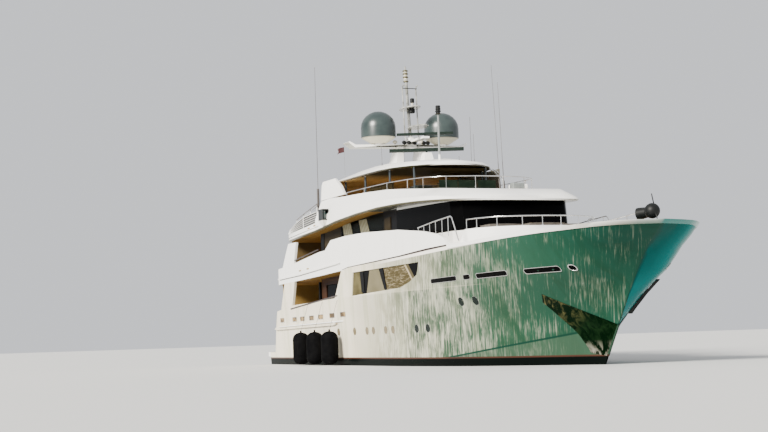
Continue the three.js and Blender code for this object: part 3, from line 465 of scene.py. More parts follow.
# Superstructure: the same plate and enamel in plain white, sprayed over rounded edges. Faces that look down
# are painted in shade, in a colour given for each finish and a little tinted by the water.
def enamelled(name, underside_shade):
    coat = Finish(name, 0.26, 0.35, Coat_Weight=0.2, Coat_Roughness=0.08)
    color = coat.mix(coat.noise((0.5, 0.5, 0.8)), (0.87, 0.855, 0.815), (0.93, 0.92, 0.895))
    runs = coat.noise((2.5, 2.5, 0.25), rough=0.6)
    color = coat.mix(coat.fit(runs, 0.60, 0.8, 0.0, 0.22), color, (0.66, 0.62, 0.52))
    coat.face = coat.split(coat.add("ShaderNodeNewGeometry").outputs["Normal"])
    return coat, coat.mix(coat.fit(coat.face[2], -0.3, -0.85), color, underside_shade)


def skins(names, ending, material, angle=32):
    for name in names.split():
        skin(f"{name}_{ending}", [name], material, angle)


in_shade = (0.15, 0.14, 0.085)
white, color = enamelled("white enamel", in_shade)
white_paint = white.finish(Base_Color=color)
skins("upper_deck upper_house sundeck arch_leg_stbd arch_leg_port trunk stern_door swim_platform", "shell",
      white_paint)
cap, color = enamelled("cap rail enamel", in_shade)
# Painted shade: near the bow, faces turned away from the light are teal with reflected sea.
bow = cap.fit(cap.axes()[0], 14.0, 17.5)
bow_cap_shade = cap.times(cap.fit(cap.face[1], -0.35, 0.1), cap.times(bow, cap.fit(cap.face[2], 0.75, 0.5)))
skins("cap_rail", "shell", cap.finish(Base_Color=cap.mix(bow_cap_shade, color, (0.01, 0.17, 0.15))))
roof, color = enamelled("hardtop enamel", (0.15, 0.09, 0.025))
x, y, z = roof.axes()
# Painted light under the roof: faces that look down or inward are warm amber aft, with dark painted shade
# forward of X -3.
underside_light = roof.mix(roof.noise((0.5, 3.0, 3.0), detail=4.0), (0.30, 0.18, 0.055), (0.14, 0.095, 0.03))
underside_light = roof.mix(roof.fit(x, -7.0, -3.0), underside_light, (0.035, 0.034, 0.018))
inward = roof.times(roof.face[1], roof.sum("SIGN", y))
hidden = roof.sum("MAXIMUM", roof.fit(roof.face[2], -0.15, -0.5),
                  roof.times(roof.fit(inward, -0.2, -0.5), roof.fit(z, 9.9, 9.85)))
color = roof.mix(hidden, color, underside_light)
post = roof.times(roof.fit(z, 9.50, 9.47), roof.fit(roof.size(y), 1.6, 1.7))
color = roof.mix(post, color, (0.035, 0.045, 0.05))
stalk = roof.times(roof.fit(roof.size(roof.plus(y, 0.25)), 0.14, 0.13),
                   roof.times(roof.fit(z, 10.15, 10.25), roof.fit(x, -0.30, -0.28)))
color = roof.mix(stalk, color, (0.20, 0.215, 0.21))
color = roof.mix(roof.fit(z, 12.15, 12.2), color, (0.003, 0.0035, 0.0035))
skins("hardtop", "shell", roof.finish(Base_Color=color))
spar, color = enamelled("mast enamel", (0.42, 0.42, 0.36))
worn = spar.fit(spar.noise(scale=3.0), 0.4, 0.6, 0.75, 1.0)
aloft = spar.times(spar.fit(spar.axes()[2], 11.55, 11.7), worn)
skins("mast", "shell", spar.finish(Base_Color=spar.mix(aloft, color, (0.17, 0.17, 0.15))))
skins("wheelhouse_glass saloon_door_stbd saloon_door_port lounge_door_stbd lounge_door_port", "pane",
      tinted)
skins("foredeck_rail sundeck_rail windlass", "bars", steel, 75)
coat = Finish("whip fibreglass", 0.4)
color = coat.mix(coat.fit(coat.axes()[2], 9.38, 9.42), (0.06, 0.05, 0.045), (0.13, 0.125, 0.13))
patch = coat.fit(coat.noise(scale=3.0), 0.3, 0.7, 0.0, 0.4)
fibre = coat.finish(Base_Color=coat.mix(patch, color, (0.03, 0.03, 0.03)))
skins("whip_aft whips_forward", "rods", fibre, 75)


# Decks and linings: teak planks 90 mm wide over the plate, caulked with black rubber, and varnished
# slats under the overhangs. Each follows the face of plate it is glued to.
def effect(name, takes, gives):
    tree = bpy.data.node_groups.new(name, "ShaderNodeTree")
    for label, value in takes:
        socket = tree.interface.new_socket(name=label, in_out="INPUT", socket_type="NodeSocketFloat")
        socket.default_value = value
    for label in gives:
        tree.interface.new_socket(name=label, in_out="OUTPUT", socket_type="NodeSocketFloat")
    return Nodes(tree), tree.nodes.new("NodeGroupInput").outputs, tree.nodes.new("NodeGroupOutput")


planks, takes, gives = effect("planks", [("Across", 0.0), ("Along", 0.0), ("Width", 0.09), ("Seam", 0.06)],
                              ["Gap", "Tone", "Grain"])
row = planks.sum("DIVIDE", takes["Across"], takes["Width"])
edge = planks.size(planks.less(planks.sum("FRACT", row), 0.5))
number = planks.sum("FLOOR", row)
tone = planks.add("ShaderNodeTexWhiteNoise", {"W": number}, noise_dimensions="1D").outputs[0]
figure = planks.add("ShaderNodeCombineXYZ", {0: takes["Along"], 1: planks.times(takes["Across"], 22.0),
                                             2: number}).outputs[0]
planks.set(gives, {"Gap": planks.sum("GREATER_THAN", edge, planks.less(0.5, takes["Seam"])), "Tone": tone,
                   "Grain": planks.noise(figure, 1.6, 4.0, 0.6, 0.4)})


def boards(name, dark, light, seam, width, gap, rough, spec=0.5, shade=None):
    """Planks along the ship. When a shade colour is given, they are painted in shade forward of the middle of
    the roof.
    """
    wood = Finish(name, rough, spec)
    x, y, z = wood.axes()
    lines = wood.add("ShaderNodeGroup", {"Across": y, "Along": x, "Width": width, "Seam": gap},
                     node_tree=planks.tree).outputs
    blend = wood.plus(wood.times(lines["Tone"], 0.5), wood.times(lines["Grain"], 0.5))
    color = wood.mix(lines["Gap"], wood.mix(blend, dark, light), seam)
    if shade:
        color = wood.mix(wood.fit(x, -5.5, -3.0), color, wood.mix(blend, [c * 0.6 for c in shade], shade))
    height = wood.less(wood.times(lines["Grain"], 0.3), lines["Gap"])
    return wood.finish(Base_Color=color, Normal=wood.bump(height, 0.4, 0.003))


def thicken(piece, thickness, offset=-1):
    take(piece)
    wall = piece.modifiers.new("wall", "SOLIDIFY")
    wall.thickness = thickness
    wall.offset = offset
    bpy.ops.object.modifier_apply(modifier="wall")


def lining(name, member, span, way, heights, margin, material):
    """A thin panel on the faces of a part that look up or down, between places along the ship and heights."""
    piece = merged(name, [member])
    bpy.ops.mesh.bisect(plane_co=(span[0], 0, 0), plane_no=(-1, 0, 0), clear_outer=True)
    every()
    bpy.ops.mesh.bisect(plane_co=(span[1], 0, 0), plane_no=(1, 0, 0), clear_outer=True)
    bpy.ops.object.mode_set(mode="OBJECT")
    shape(piece, lambda c, n: not (n.z * way > 0.9 and heights[0] < c.z < heights[1]))
    bpy.ops.mesh.delete(type="FACE")
    every()
    bpy.ops.mesh.dissolve_limited(angle_limit=math.radians(0.5))
    every()
    bpy.ops.mesh.inset(thickness=margin, use_even_offset=False)
    bpy.ops.mesh.select_all(action="INVERT")
    bpy.ops.mesh.delete(type="FACE")
    thicken(piece, 0.006, 1)
    settle(piece, name, material)


teak = boards("teak deck", (0.27, 0.17, 0.09), (0.44, 0.31, 0.18), (0.02, 0.018, 0.016), 0.09, 0.06, 0.6)
slats = boards("varnished slats", (0.30, 0.16, 0.04), (0.48, 0.28, 0.08), (0.08, 0.04, 0.015), 0.16, 0.03,
               0.55, 0.05)
# A paler copy of the varnished slats, painted as lit, for the roof ceiling; forward it is painted in shade.
lit_slats = boards("pale varnished slats", (0.62, 0.38, 0.12), (0.84, 0.58, 0.24), (0.16, 0.09, 0.03), 0.16,
                    0.03, 0.6, 0.02, (0.07, 0.062, 0.032))
up, down, anywhere = 1, -1, (-9, 99)
main_deck, fore_deck, sun_deck = ((level - 0.03, level + 0.03) for level in (2.15, 4.35, 7.70))
for panel in (("main_deck_teak", "hull", (-15.25, 6.2), up, main_deck, 0.2, teak),
              ("foredeck_teak", "hull", (8.7, 18.5), up, fore_deck, 0.2, teak),
              ("platform_teak", "swim_platform", (-19.8, -18.3), up, anywhere, 0.08, teak),
              ("upper_deck_teak", "upper_deck", (-16.5, 8.6), up, (-9, 5.35), 0.1, teak),
              ("sundeck_teak", "sundeck", (-9.6, 4.8), up, sun_deck, 0.06, teak),
              ("main_deck_ceiling", "upper_deck", (-16.4, -4.4), down, anywhere, 0.18, slats),
              ("upper_deck_ceiling", "sundeck", (-14.4, -0.9), down, anywhere, 0.06, slats),
              ("hardtop_ceiling", "hardtop", (-9.5, 1.5), down, anywhere, 0.12, lit_slats)):
    lining(*panel)


# Deck houses: varnished walnut round the saloon, tan panels and dark posts round the lounge, and one
# long pane each side of the lounge with cream drapes tied back behind it. Canvas screens are hung
# from the deck above across the open ends.
def block(low, high, bevel=0.012):
    rest()
    size = [b - a for a, b in zip(low, high)]
    bpy.ops.mesh.primitive_cube_add(size=1, location=[(a + b) / 2 for a, b in zip(low, high)], scale=size)
    piece = bpy.context.object
    bpy.ops.object.transform_apply(location=True, scale=True)
    bpy.ops.object.mode_set(mode="EDIT")
    every()
    bpy.ops.mesh.bevel(offset=min(bevel, min(size) * 0.4), segments=2)
    rest()
    return piece


def timber(name, dark, light, along, rough, spec=0.5, **sockets):
    wood = Finish(name, rough, spec, **sockets)
    figure = wood.noise(along, 1.0, 5.0, 0.6, 0.8)
    return wood.finish(Base_Color=wood.mix(wood.fit(figure, 0.3, 0.7), dark, light),
                       Normal=wood.bump(figure, 0.08, 0.002))


skins("main_house", "shell",
      timber("varnished walnut", (0.018, 0.008, 0.005), (0.060, 0.026, 0.013), (0.7, 14, 14), 0.4, 0.05))
olive = Finish("saloon glass", 0.07, 0.02)
x, y, z = olive.axes()
# Painted reflections on the saloon glass: olive haze in broad patches, streaks of leaves, and near-black bands
# of painted shadow that lean with the panes.
broad_reflection = olive.noise((0.9, 1, 1.3), detail=2.0)
reflected_leaves = olive.fit(olive.noise((2.0, 1, 13.0), 1.0, 4.0, 0.7, 0.9, (0, 0.12, 0)), 0.50, 0.66)
painted_shadow = (0.002, 0.002, 0.002)
color = olive.mix(olive.fit(broad_reflection, 0.40, 0.62), (0.055, 0.045, 0.018), (0.105, 0.088, 0.04))
for top, low, tint in ((-1.94, -1.73, painted_shadow),
                       (-0.65, -1.14, olive.mix(broad_reflection, (0.09, 0.078, 0.04), (0.17, 0.15, 0.095))),
                       (0.62, 1.23, painted_shadow),
                       (1.19, 1.51, olive.mix(reflected_leaves, (0.055, 0.043, 0.018), (0.24, 0.20, 0.125))),
                       (3.75, 4.9, (0.30, 0.25, 0.16)), (3.95, 5.05, (0.07, 0.058, 0.03)), (4.25, 5.35, painted_shadow)):
    leaning = olive.fit(z, 4.6, 3.55, top, low)
    color = olive.mix(olive.fit(olive.less(x, leaning), -0.02, 0.02), color, tint)
skins("saloon_glass_stbd saloon_glass_port", "pane", olive.finish(Base_Color=color))
coat = Finish("black gloss", 0.3, 0.03)
black = coat.finish(Base_Color=coat.mix(coat.noise(scale=3.0), (0.002, 0.002, 0.0025), (0.006, 0.006, 0.006)))
tan = timber("tan panel", (0.014, 0.010, 0.005), (0.030, 0.022, 0.011), (0.6, 5, 5), 0.6, 0.1)
coat = Finish("clear glass", 0.0, 0.05, Transmission_Weight=1.0, IOR=1.02)
clear = coat.finish(Base_Color=coat.mix(coat.noise(scale=0.8), (0.86, 0.88, 0.84), (0.74, 0.78, 0.74)))
weave, takes, gives = effect("weave", [("Threads", 400.0)], ["Height", "Fade"])
x, y, z = weave.axes()
warp = weave.sum("SINE", weave.times(weave.plus(x, y), takes["Threads"]))
weft = weave.sum("SINE", weave.times(weave.plus(z, weave.times(y, 0.6)), takes["Threads"]))
weave.set(gives, {"Height": weave.times(warp, weft), "Fade": weave.noise(scale=1.7, detail=4.0, rough=0.6)})


def woven(name, threads, relief, rough, sheen):
    """A cloth under construction, with its threads raised, and the noise by which its dye fades."""
    coat = Finish(name, rough, Sheen_Weight=sheen)
    thread = coat.add("ShaderNodeGroup", {"Threads": threads}, node_tree=weave.tree).outputs
    coat.finish(Normal=coat.bump(thread["Height"], relief, 0.001))
    return coat, thread["Fade"]


coat, fade = woven("linen drape", 600.0, 0.2, 0.9, 0.3)
# Painted shade and light in upright bands, as in the folds of the pleats.
pleat_shade = coat.add("ShaderNodeTexWave", {"Vector": coat.place((1, 0, 0.25)), "Scale": 2.6, "Distortion": 1.0,
                                       "Detail": 1.0}).outputs["Fac"]
linen = coat.finish(Base_Color=coat.mix(pleat_shade, (0.40, 0.32, 0.20), (0.66, 0.58, 0.43)))
coat, fade = woven("amber canvas", 700.0, 0.3, 0.8, 0.2)
x, y, z = coat.axes()
# The dye fades with noise. By height the canvas is painted darker on the upper deck and bright amber as if
# sunlit on the sun deck. There, forward of X -8 to -4.5, the edge wandering with noise, it is painted in shade.
spot = coat.plus(x, coat.fit(fade, 0.3, 0.7, -1.5, 1.5))
forward_shade = coat.times(coat.fit(spot, -8.0, -4.5), coat.fit(z, 7.2, 7.4))
dye_and_painted_light = coat.mix(fade, (0.19, 0.11, 0.016), (0.33, 0.21, 0.05))
for low, high, dark, light in ((4.55, 4.65, (0.06, 0.034, 0.004), (0.13, 0.08, 0.014)),
                               (7.2, 7.4, (0.62, 0.38, 0.12), (0.86, 0.60, 0.28))):
    dye_and_painted_light = coat.mix(coat.fit(z, low, high), dye_and_painted_light, coat.mix(fade, dark, light))
canvas = coat.finish(Base_Color=coat.mix(forward_shade, dye_and_painted_light, (0.05, 0.045, 0.018)))


def grid(columns, rows):
    rest()
    bpy.ops.mesh.primitive_grid_add(x_subdivisions=columns, y_subdivisions=rows, size=1)
    return bpy.context.object


def cloth(name, corners, depth, folds, out, material, across="X"):
    """Cloth between its four corners (top left, top right, low right, low left), in upright folds."""
    piece = grid(12 * folds, 14)
    tl, tr, lr, ll = (Vector(c) for c in corners)
    for point in piece.data.vertices:
        u, v = point.co.x + 0.5, 0.5 - point.co.y
        flat = tl.lerp(tr, u).lerp(ll.lerp(lr, u), v)
        wave = depth * math.sin(2 * math.pi * folds * u + 0.5 * math.sin(5 * v)) * (0.75 + 0.25 * v)
        point.co = (flat.x, out + wave, flat.y) if across == "X" else (out + wave, flat.x, flat.y)
    thicken(piece, 0.003)
    bpy.ops.object.shade_smooth()
    settle(piece, name, material)


def along(path, x):
    """The height at X of a line of (X, height) points."""
    for (x0, z0), (x1, z1) in zip(path, path[1:]):
        if x <= x1 or (x1, z1) == path[-1]:
            return z0 + (z1 - z0) * (x - x0) / (x1 - x0)


def track(path, t):
    """The point at a share t of a line of points, each step counted as one."""
    k = min(int(t * (len(path) - 1)), len(path) - 2)
    return Vector(path[k]).lerp(Vector(path[k + 1]), t * (len(path) - 1) - k)


def drawn(left, right, steps, proud):
    """A flat strip between two lines of (X, Z) points, ready to be laid on a plate."""
    piece = grid(2, steps)
    for point in piece.data.vertices:
        spot = track(left, point.co.y + 0.5).lerp(track(right, point.co.y + 0.5), point.co.x + 0.5)
        point.co = (spot.x, 0.003, spot.y)
    shape(piece)
    push(proud)
    rest()
    return piece


def siding(side, x0, x1, z0, z1, inner, outer):
    y0, y1 = sorted((side * inner, side * outer))
    return block((x0, y0, z0), (x1, y1, z1), 0.004)


wall = 2.951
for side, tag in sides:
    settle(siding(side, -9.62, -7.0, 5.0, 7.25, wall, 2.962), f"tan_panel_{tag}", tan)
    skin(f"wheelhouse_door_{tag}_leaf", [f"wheelhouse_door_{tag}"], tan)
    # Dark posts round the lounge, and a long black sheet on the wall behind the lounge pane that is painted
    # shade for the unlit room.
    posts = [siding(side, *post) for post in (
        (0.03, 0.76, 5.86, 7.46, wall, 2.966), (-10.15, -9.62, 4.80, 7.15, wall, 2.985),
        (-7.0, -6.84, 5.3, 7.25, wall, 2.985), (-6.84, -0.82, 5.9, 7.46, wall, 2.954),
        (-0.83, 0.04, 7.13, 7.46, wall, 2.966), (-10.72, -10.55, 2.17, 4.45, 2.86, 2.98))]
    settle(posts, f"dark_posts_{tag}", black)
    for name, corners in (("aft", [(-6.75, 7.30), (-5.55, 7.30), (-4.95, 5.95), (-6.30, 5.95)]),
                          ("fore", [(-4.35, 7.30), (-3.25, 7.30), (-2.50, 5.95), (-3.75, 5.95)])):
        cloth(f"drape_{name}_{tag}", corners, 0.010, 7, side * 2.972, linen)
    settle(siding(side, -6.82, -0.90, 5.9, 7.33, 2.99, 2.998), f"lounge_pane_{tag}", clear)
    windows = [siding(side, x0, x1, 2.92, 4.23, 2.84, 2.856) for x0, x1 in ((-9.68, -7.52), (-7.18, -5.12))]
    settle(windows, f"saloon_side_panes_{tag}", tinted)
    mullions = [drawn([(-1.80, 3.58), (-1.93, 4.56)], [(-1.40, 3.58), (-1.45, 4.56)], 8, 0.02),
                drawn([(1.20, 3.62), (0.64, 4.58)], [(1.48, 3.62), (1.12, 4.58)], 8, 0.02)]
    for bar in mullions:
        lay_on(bar, side, bpy.data.objects[f"saloon_glass_{tag}_pane"])
    settle(mullions, f"saloon_mullions_{tag}", black)
for name, corners, folds, out, support, across in (
        ("main", [(-3.3, 4.58), (3.3, 4.58), (3.3, 3.05), (-3.3, 3.05)], 6, -15.97, "upper_deck", "Y"),
        ("upper", [(-3.2, 6.90), (3.2, 6.90), (3.2, 5.0), (-3.2, 5.0)], 6, -14.40, "sundeck", "Y"),
        ("sun_port", [(-8.6, 9.50), (0.2, 9.50), (0.2, 8.42), (-8.6, 8.72)], 9, 2.84, "hardtop", "X"),
        ("sun_aft", [(-2.4, 9.50), (2.4, 9.50), (2.4, 7.75), (-2.4, 7.75)], 5, -9.2, "hardtop", "Y")):
    cloth(f"screen_{name}", corners, 0.012, folds, out, canvas, across)


# Gear: polished plates where the anchors ride, the cast anchor stowed to port, gelcoat domes and
# painted scanners aloft, rudders, fins and bronze propellers on their mounts, and blown rubber fenders.
def turned(profile, steps):
    """A body of revolution round the Z axis from a half profile of (radius, Z) points."""
    piece = grid(1, len(profile) - 1)
    shape(piece, lambda c: c.x < 0, "VERT")
    bpy.ops.mesh.delete(type="VERT")
    rest()
    order = sorted(piece.data.vertices, key=lambda v: v.co.y)
    for point, (radius, height) in zip(order, profile):
        point.co = (radius, 0, height)
    shape(piece, kind="VERT")
    bpy.ops.mesh.spin(steps=steps, angle=2 * math.pi, center=(0, 0, 0), axis=(0, 0, 1))
    every()
    bpy.ops.mesh.remove_doubles(threshold=0.0001)
    bpy.ops.mesh.normals_make_consistent(inside=False)
    bpy.ops.object.mode_set(mode="OBJECT")
    smooth(40)
    return piece


def mottled(name, dark, light, scale, rough, spec=0.5, **sockets):
    coat = Finish(name, rough, spec, **sockets)
    patch = coat.noise(scale=scale, detail=4.0, rough=0.6)
    return coat.finish(Base_Color=coat.mix(coat.fit(patch, 0.3, 0.7), dark, light),
                       Normal=coat.bump(patch, 0.1, 0.002))


# The dark green and the bright marks are painted reflections of the sea and sky in the steel, laid out by the
# scuffs; the scuffs also vary the roughness.
coat = Finish("scuffed anchor plate", Metallic=1.0)
scuffs_and_glints = coat.noise((2.5, 2, 1.2), 1.0, 5.0, 0.65, 1.2)
x, y, z = coat.axes()
color = coat.mix(coat.fit(scuffs_and_glints, 0.45, 0.62), (0.001, 0.012, 0.003), (0.010, 0.034, 0.010))
bright = coat.fit(scuffs_and_glints, 0.46, 0.60)
painted_gleam = coat.times(bright, coat.fit(coat.plus(z, coat.times(x, -0.55)), -6.6, -5.4))
color = coat.mix(painted_gleam, color, (0.20, 0.17, 0.07))
shine = coat.times(bright, coat.fit(z, 1.0, 0.55, 0.0, 0.8))
coat.finish(Base_Color=coat.mix(shine, color, (0.60, 0.56, 0.46)), Roughness=coat.fit(scuffs_and_glints, 0.3, 0.7, 0.2, 0.5))
skins("anchor_plate_stbd anchor_plate_port", "sheet", coat.material, 50)
coat = Finish("dome gelcoat", 0.3)
weathered = coat.fit(coat.noise((1, 1, 1.2), 1.6, 4.0, 0.6), 0.3, 0.7)
color = coat.mix(weathered, (0.015, 0.025, 0.025), (0.034, 0.048, 0.046))
dome = coat.finish(Base_Color=coat.mix(coat.fit(coat.axes()[2], 11.55, 11.50), color, (0.60, 0.56, 0.42)))
black_paint = mottled("black paint", (0.002, 0.0025, 0.0025), (0.008, 0.009, 0.0085), 4.0, 0.5, 0.2)
bronze = mottled("cast bronze", (0.30, 0.17, 0.06), (0.52, 0.34, 0.15), 5.0, 0.3, Metallic=1.0)
scanner_paint = mottled("scanner paint", (0.006, 0.012, 0.009), (0.012, 0.020, 0.016), 2.0, 0.5, 0.1)
for names, slot, material in (("dome_stbd dome_port", "dome", dome),
                              ("jackstaff bow_lamp rudder_stbd rudder_port fin_port fin_stbd anchor_port",
                               "dark", black_paint),
                              ("propeller_stbd propeller_port", "bronze", bronze),
                              ("radar_lower radar_upper", "grey", scanner_paint), ("aft_table", "teak", teak)):
    skins(names, "shell", material, 50)
fender_rubber = mottled("fender rubber", (0.0012, 0.0012, 0.0015), (0.004, 0.004, 0.0043), 3.0, 0.8, 0.03)
profile = [(0.0, 0.0), (0.13, 0.006), (0.24, 0.04), (0.34, 0.11), (0.41, 0.21), (0.44, 0.36), (0.44, 1.34),
           (0.41, 1.48), (0.34, 1.58), (0.24, 1.65), (0.13, 1.685), (0.05, 1.70), (0.042, 1.79), (0.0, 1.792)]
for i in (1, 2, 3):
    low, high = (Vector(c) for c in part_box(f"fender_{i}"))
    foot = Vector(((low.x + high.x) / 2, low.y + fender_radius, 0.06))
    parts = [turned(profile, 32)]
    for part in parts[0].data.vertices:
        part.co += foot
    for height in (0.42, 1.26):
        rest()
        bpy.ops.mesh.primitive_torus_add(location=foot + Vector((0, 0, height)), major_radius=0.437,
                                         minor_radius=0.014, major_segments=32, minor_segments=6)
        parts.append(bpy.context.object)
    settle(parts, f"fender_{i}_body", fender_rubber)
    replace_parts(bpy.data.objects[f"fender_{i}_body"], f"fender_{i}")


# Side lights: black housings on white brackets, with a green lens to starboard and a red one to port.
# The lens is a moulded drum with turned-in ends, clipped into its housing.
coat = Finish("side light housing", 0.35)
bracket = coat.fit(coat.axes()[2], 7.515, 7.525)
coat.finish(Base_Color=coat.mix(bracket, (0.82, 0.80, 0.74), (0.004, 0.006, 0.006)))
skins("side_light_stbd side_light_port", "shell", coat.material)
for (side, tag), tint in zip(sides, ((0.0, 0.035, 0.03), (0.16, 0.004, 0.004))):
    place = (-7.05, side * 3.86, 7.82)
    rest()
    bpy.ops.mesh.primitive_cylinder_add(vertices=28, radius=0.11, depth=0.36, location=place)
    lamp = bpy.context.object
    bpy.ops.object.transform_apply(location=True)
    shape(lamp, lambda c, n: abs(n.z) > 0.9)
    bpy.ops.mesh.inset(thickness=0.03)
    bpy.ops.transform.resize(value=(1, 1, 1.12), center_override=place)
    settle(lamp, f"lens_{tag}",
           mottled(f"{tag} lens", [c * 0.6 for c in tint], tint, 9.0, 0.1, Coat_Weight=0.8))


# Mouldings: dark sealed seams under the bands, a raised bead along the aft part of the upper one, small
# amber courtesy lights, and the rub rail. All are bonded to the plate they follow.
def eased(piece, width, segments, limit=30):
    take(piece)
    edge = piece.modifiers.new("edge", "BEVEL")
    edge.width = width
    edge.segments = segments
    edge.angle_limit = math.radians(limit)
    bpy.ops.object.modifier_apply(modifier="edge")


sealant = mottled("seam sealant", (0.008, 0.003, 0.002), (0.020, 0.009, 0.006), 3.0, 0.7)
amber_lens = mottled("amber lens", (0.20, 0.12, 0.015), (0.36, 0.22, 0.03), 9.0, 0.2)
plates = [bpy.data.objects[name] for name in ("hull_shell", "upper_deck_shell", "sundeck_shell")]
for side, tag in sides:
    seams = [drawn([(-4.35, 4.795), (-3.5, 4.875), (3.3, 5.012), (6.47, 5.115), (8.6, 5.17)],
                   [(-4.35, 4.82), (-3.5, 4.91), (3.3, 5.075), (6.47, 5.205), (8.6, 5.24)], 60, 0.004),
             drawn([(-14.2, 7.00), (-11.6, 7.13), (-8.3, 7.30)],
                   [(-14.2, 7.03), (-11.6, 7.16), (-8.3, 7.32)], 30, 0.004),
             drawn([(-16.3, 4.70), (-11.1, 4.81), (-4.6, 5.10)],
                   [(-16.3, 4.725), (-11.1, 4.835), (-4.6, 5.11)], 30, 0.003)]
    beads = [drawn([(-16.3, 4.74), (-11.1, 4.85), (-5.2, 5.11), (-4.5, 5.17)],
                   [(-16.3, 4.86), (-11.1, 4.98), (-5.2, 5.24), (-4.5, 5.21)], 40, 0.035),
             drawn([(-15.2, 2.10), (-4.6, 2.21)], [(-15.2, 2.17), (-4.6, 2.28)], 40, 0.045)]
    lights = [drawn([(x - 0.16, z - 0.03), (x + 0.16, z - 0.025)], [(x - 0.16, z + 0.03), (x + 0.16, z + 0.035)],
                    2, 0.02) for x, z in ((-11.04, 5.10), (-9.7, 5.14), (-10.0, 7.32), (-9.0, 7.39))]
    for piece in seams + beads + lights:
        lay_on(piece, side, *plates)
    for piece in beads:
        eased(piece, 0.012, 2)
        smooth(50)
    settle(seams, f"seams_{tag}", sealant)
    settle(beads, f"beads_{tag}", white_paint)
    settle(lights, f"courtesy_lights_{tag}", amber_lens)


# Rails: stainless tube, bent and welded, with a varnished cap over the aft bulwarks on short posts and
# one along the main bulwark. Feet are bolted through the plate.
def tube(points, radius):
    piece = wire(points, radius)
    take(piece)
    bpy.ops.object.convert(target="MESH")
    smooth(60)
    return piece


def reach(side, x, z, plate):
    """How far out a plate stands at a place on the ship's side."""
    return abs(plate.ray_cast(Vector((x, side * beyond, z)), Vector((0, -side, 0)))[1].y)


def beam(path, wide, tall):
    """A bar of rounded section along a line of points that runs down the ship."""
    first, last = path[0][0], path[-1][0]
    piece = block((first, -wide / 2, -tall / 2), (last, wide / 2, tall / 2), min(wide, tall) * 0.3)
    shape(piece)
    for point in path[1:-1]:
        slice_at(point[0])
    rest()
    for part in piece.data.vertices:
        x = min(max(part.co.x, first), last)
        part.co.y += along([(p[0], p[1]) for p in path], x)
        part.co.z += along([(p[0], p[2]) for p in path], x)
    return piece


varnish = timber("varnished cap", (0.010, 0.005, 0.003), (0.032, 0.014, 0.008), (0.8, 10, 10), 0.35,
                 Coat_Weight=0.15)
band_top = [(-16.97, 5.33), (-15.91, 5.36), (-12.82, 5.48), (-7.77, 5.92), (-6.89, 5.94), (-6.03, 6.41),
            (-3.88, 6.48), (-1.12, 6.46), (3.15, 6.27), (6.14, 5.99), (7.75, 5.74), (8.35, 5.55), (8.65, 5.21)]
top_bar = [(5.25, 6.20), (7.0, 6.34), (8.62, 6.425), (8.86, 6.43), (8.98, 6.37), (9.12, 6.16), (9.65, 5.33)]
hull_plate, deck_plate = (bpy.data.objects[name] for name in ("hull_shell", "upper_deck_shell"))
for side, tag in sides:
    y = side * 3.80
    bars = [tube([(x, y, z) for x, z in top_bar], 0.027)]
    for x in (5.32, 5.95, 6.6, 7.25, 7.95, 8.6):
        foot = along(band_top, x) + 0.01 if x < 8.3 else 5.6
        bars.append(tube([(x, y, foot), (x, y, along([(5.25, 6.20), (7.0, 6.34), (8.85, 6.44)], x))], 0.017))
    rail = settle(bars, f"hand_rail_{tag}_tube", steel)
    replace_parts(rail, f"hand_rail_{tag}")
    edge = [(x, side * (reach(side, x, 2.95, hull_plate) - 0.05), along([(-13.1, 3.08), (-5.2, 3.545)], x))
            for x in (-13.1, -11, -9, -7, -5.2)]
    caps = [beam(edge, 0.18, 0.085)]
    edge = [(x, side * (reach(side, x, along(band_top, x) - 0.06, deck_plate) - 0.06), along(band_top, x) + 0.17)
            for x in (-14.3, -12.82, -10.5, -8.0)]
    caps.append(beam(edge, 0.10, 0.05))
    for x in [-14.1 + 0.75 * k for k in range(9)]:
        y = along([p[:2] for p in edge], x)
        caps.append(tube([(x, y, along(band_top, x) - 0.01), (x, y, along(band_top, x) + 0.16)], 0.02))
    settle(caps, f"bulwark_caps_{tag}", varnish)
corners = [(8.73, 2.99), (9.44, 2.84), (10.29, 2.29), (10.79, 1.34), (10.89, 0.44)]
ring = corners + [(x, -y) for x, y in reversed(corners)]
bars = [tube([(x, y, 6.30) for x, y in ring], 0.025)]
for x, y in ring:
    bars.append(tube([(x, y, 5.88), (x, y, 6.30)], 0.019))
    rest()
    bpy.ops.mesh.primitive_cylinder_add(vertices=16, radius=0.05, depth=0.02, location=(x, y, 5.892))
    bars.append(bpy.context.object)
    shape(bars[-1], lambda c, n: n.z > 0.9)
    bpy.ops.mesh.inset(thickness=0.02)
    bpy.ops.transform.translate(value=(0, 0, 0.02))
    rest()
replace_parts(settle(bars, "trunk_rail_tube", steel), "trunk_rail")
stays = [tube([(-0.41 + lag, 2.61, 9.52), (1.2 + lag, 2.1, 9.22), (2.82 + lag, 1.57, 8.72)], 0.024)
         for lag in (0, 0.25)]
settle(stays, "roof_stays", steel)


# Louvres: thin white slats pressed in aluminium, screwed to uprights in front of a black plate of painted shade
# for the inside of the duct, with a grab rail on stanchions over them, painted brown-grey as steel in shade.
louvre, color = enamelled("louvre enamel", (0.02, 0.018, 0.012))
x, y, z = louvre.axes()
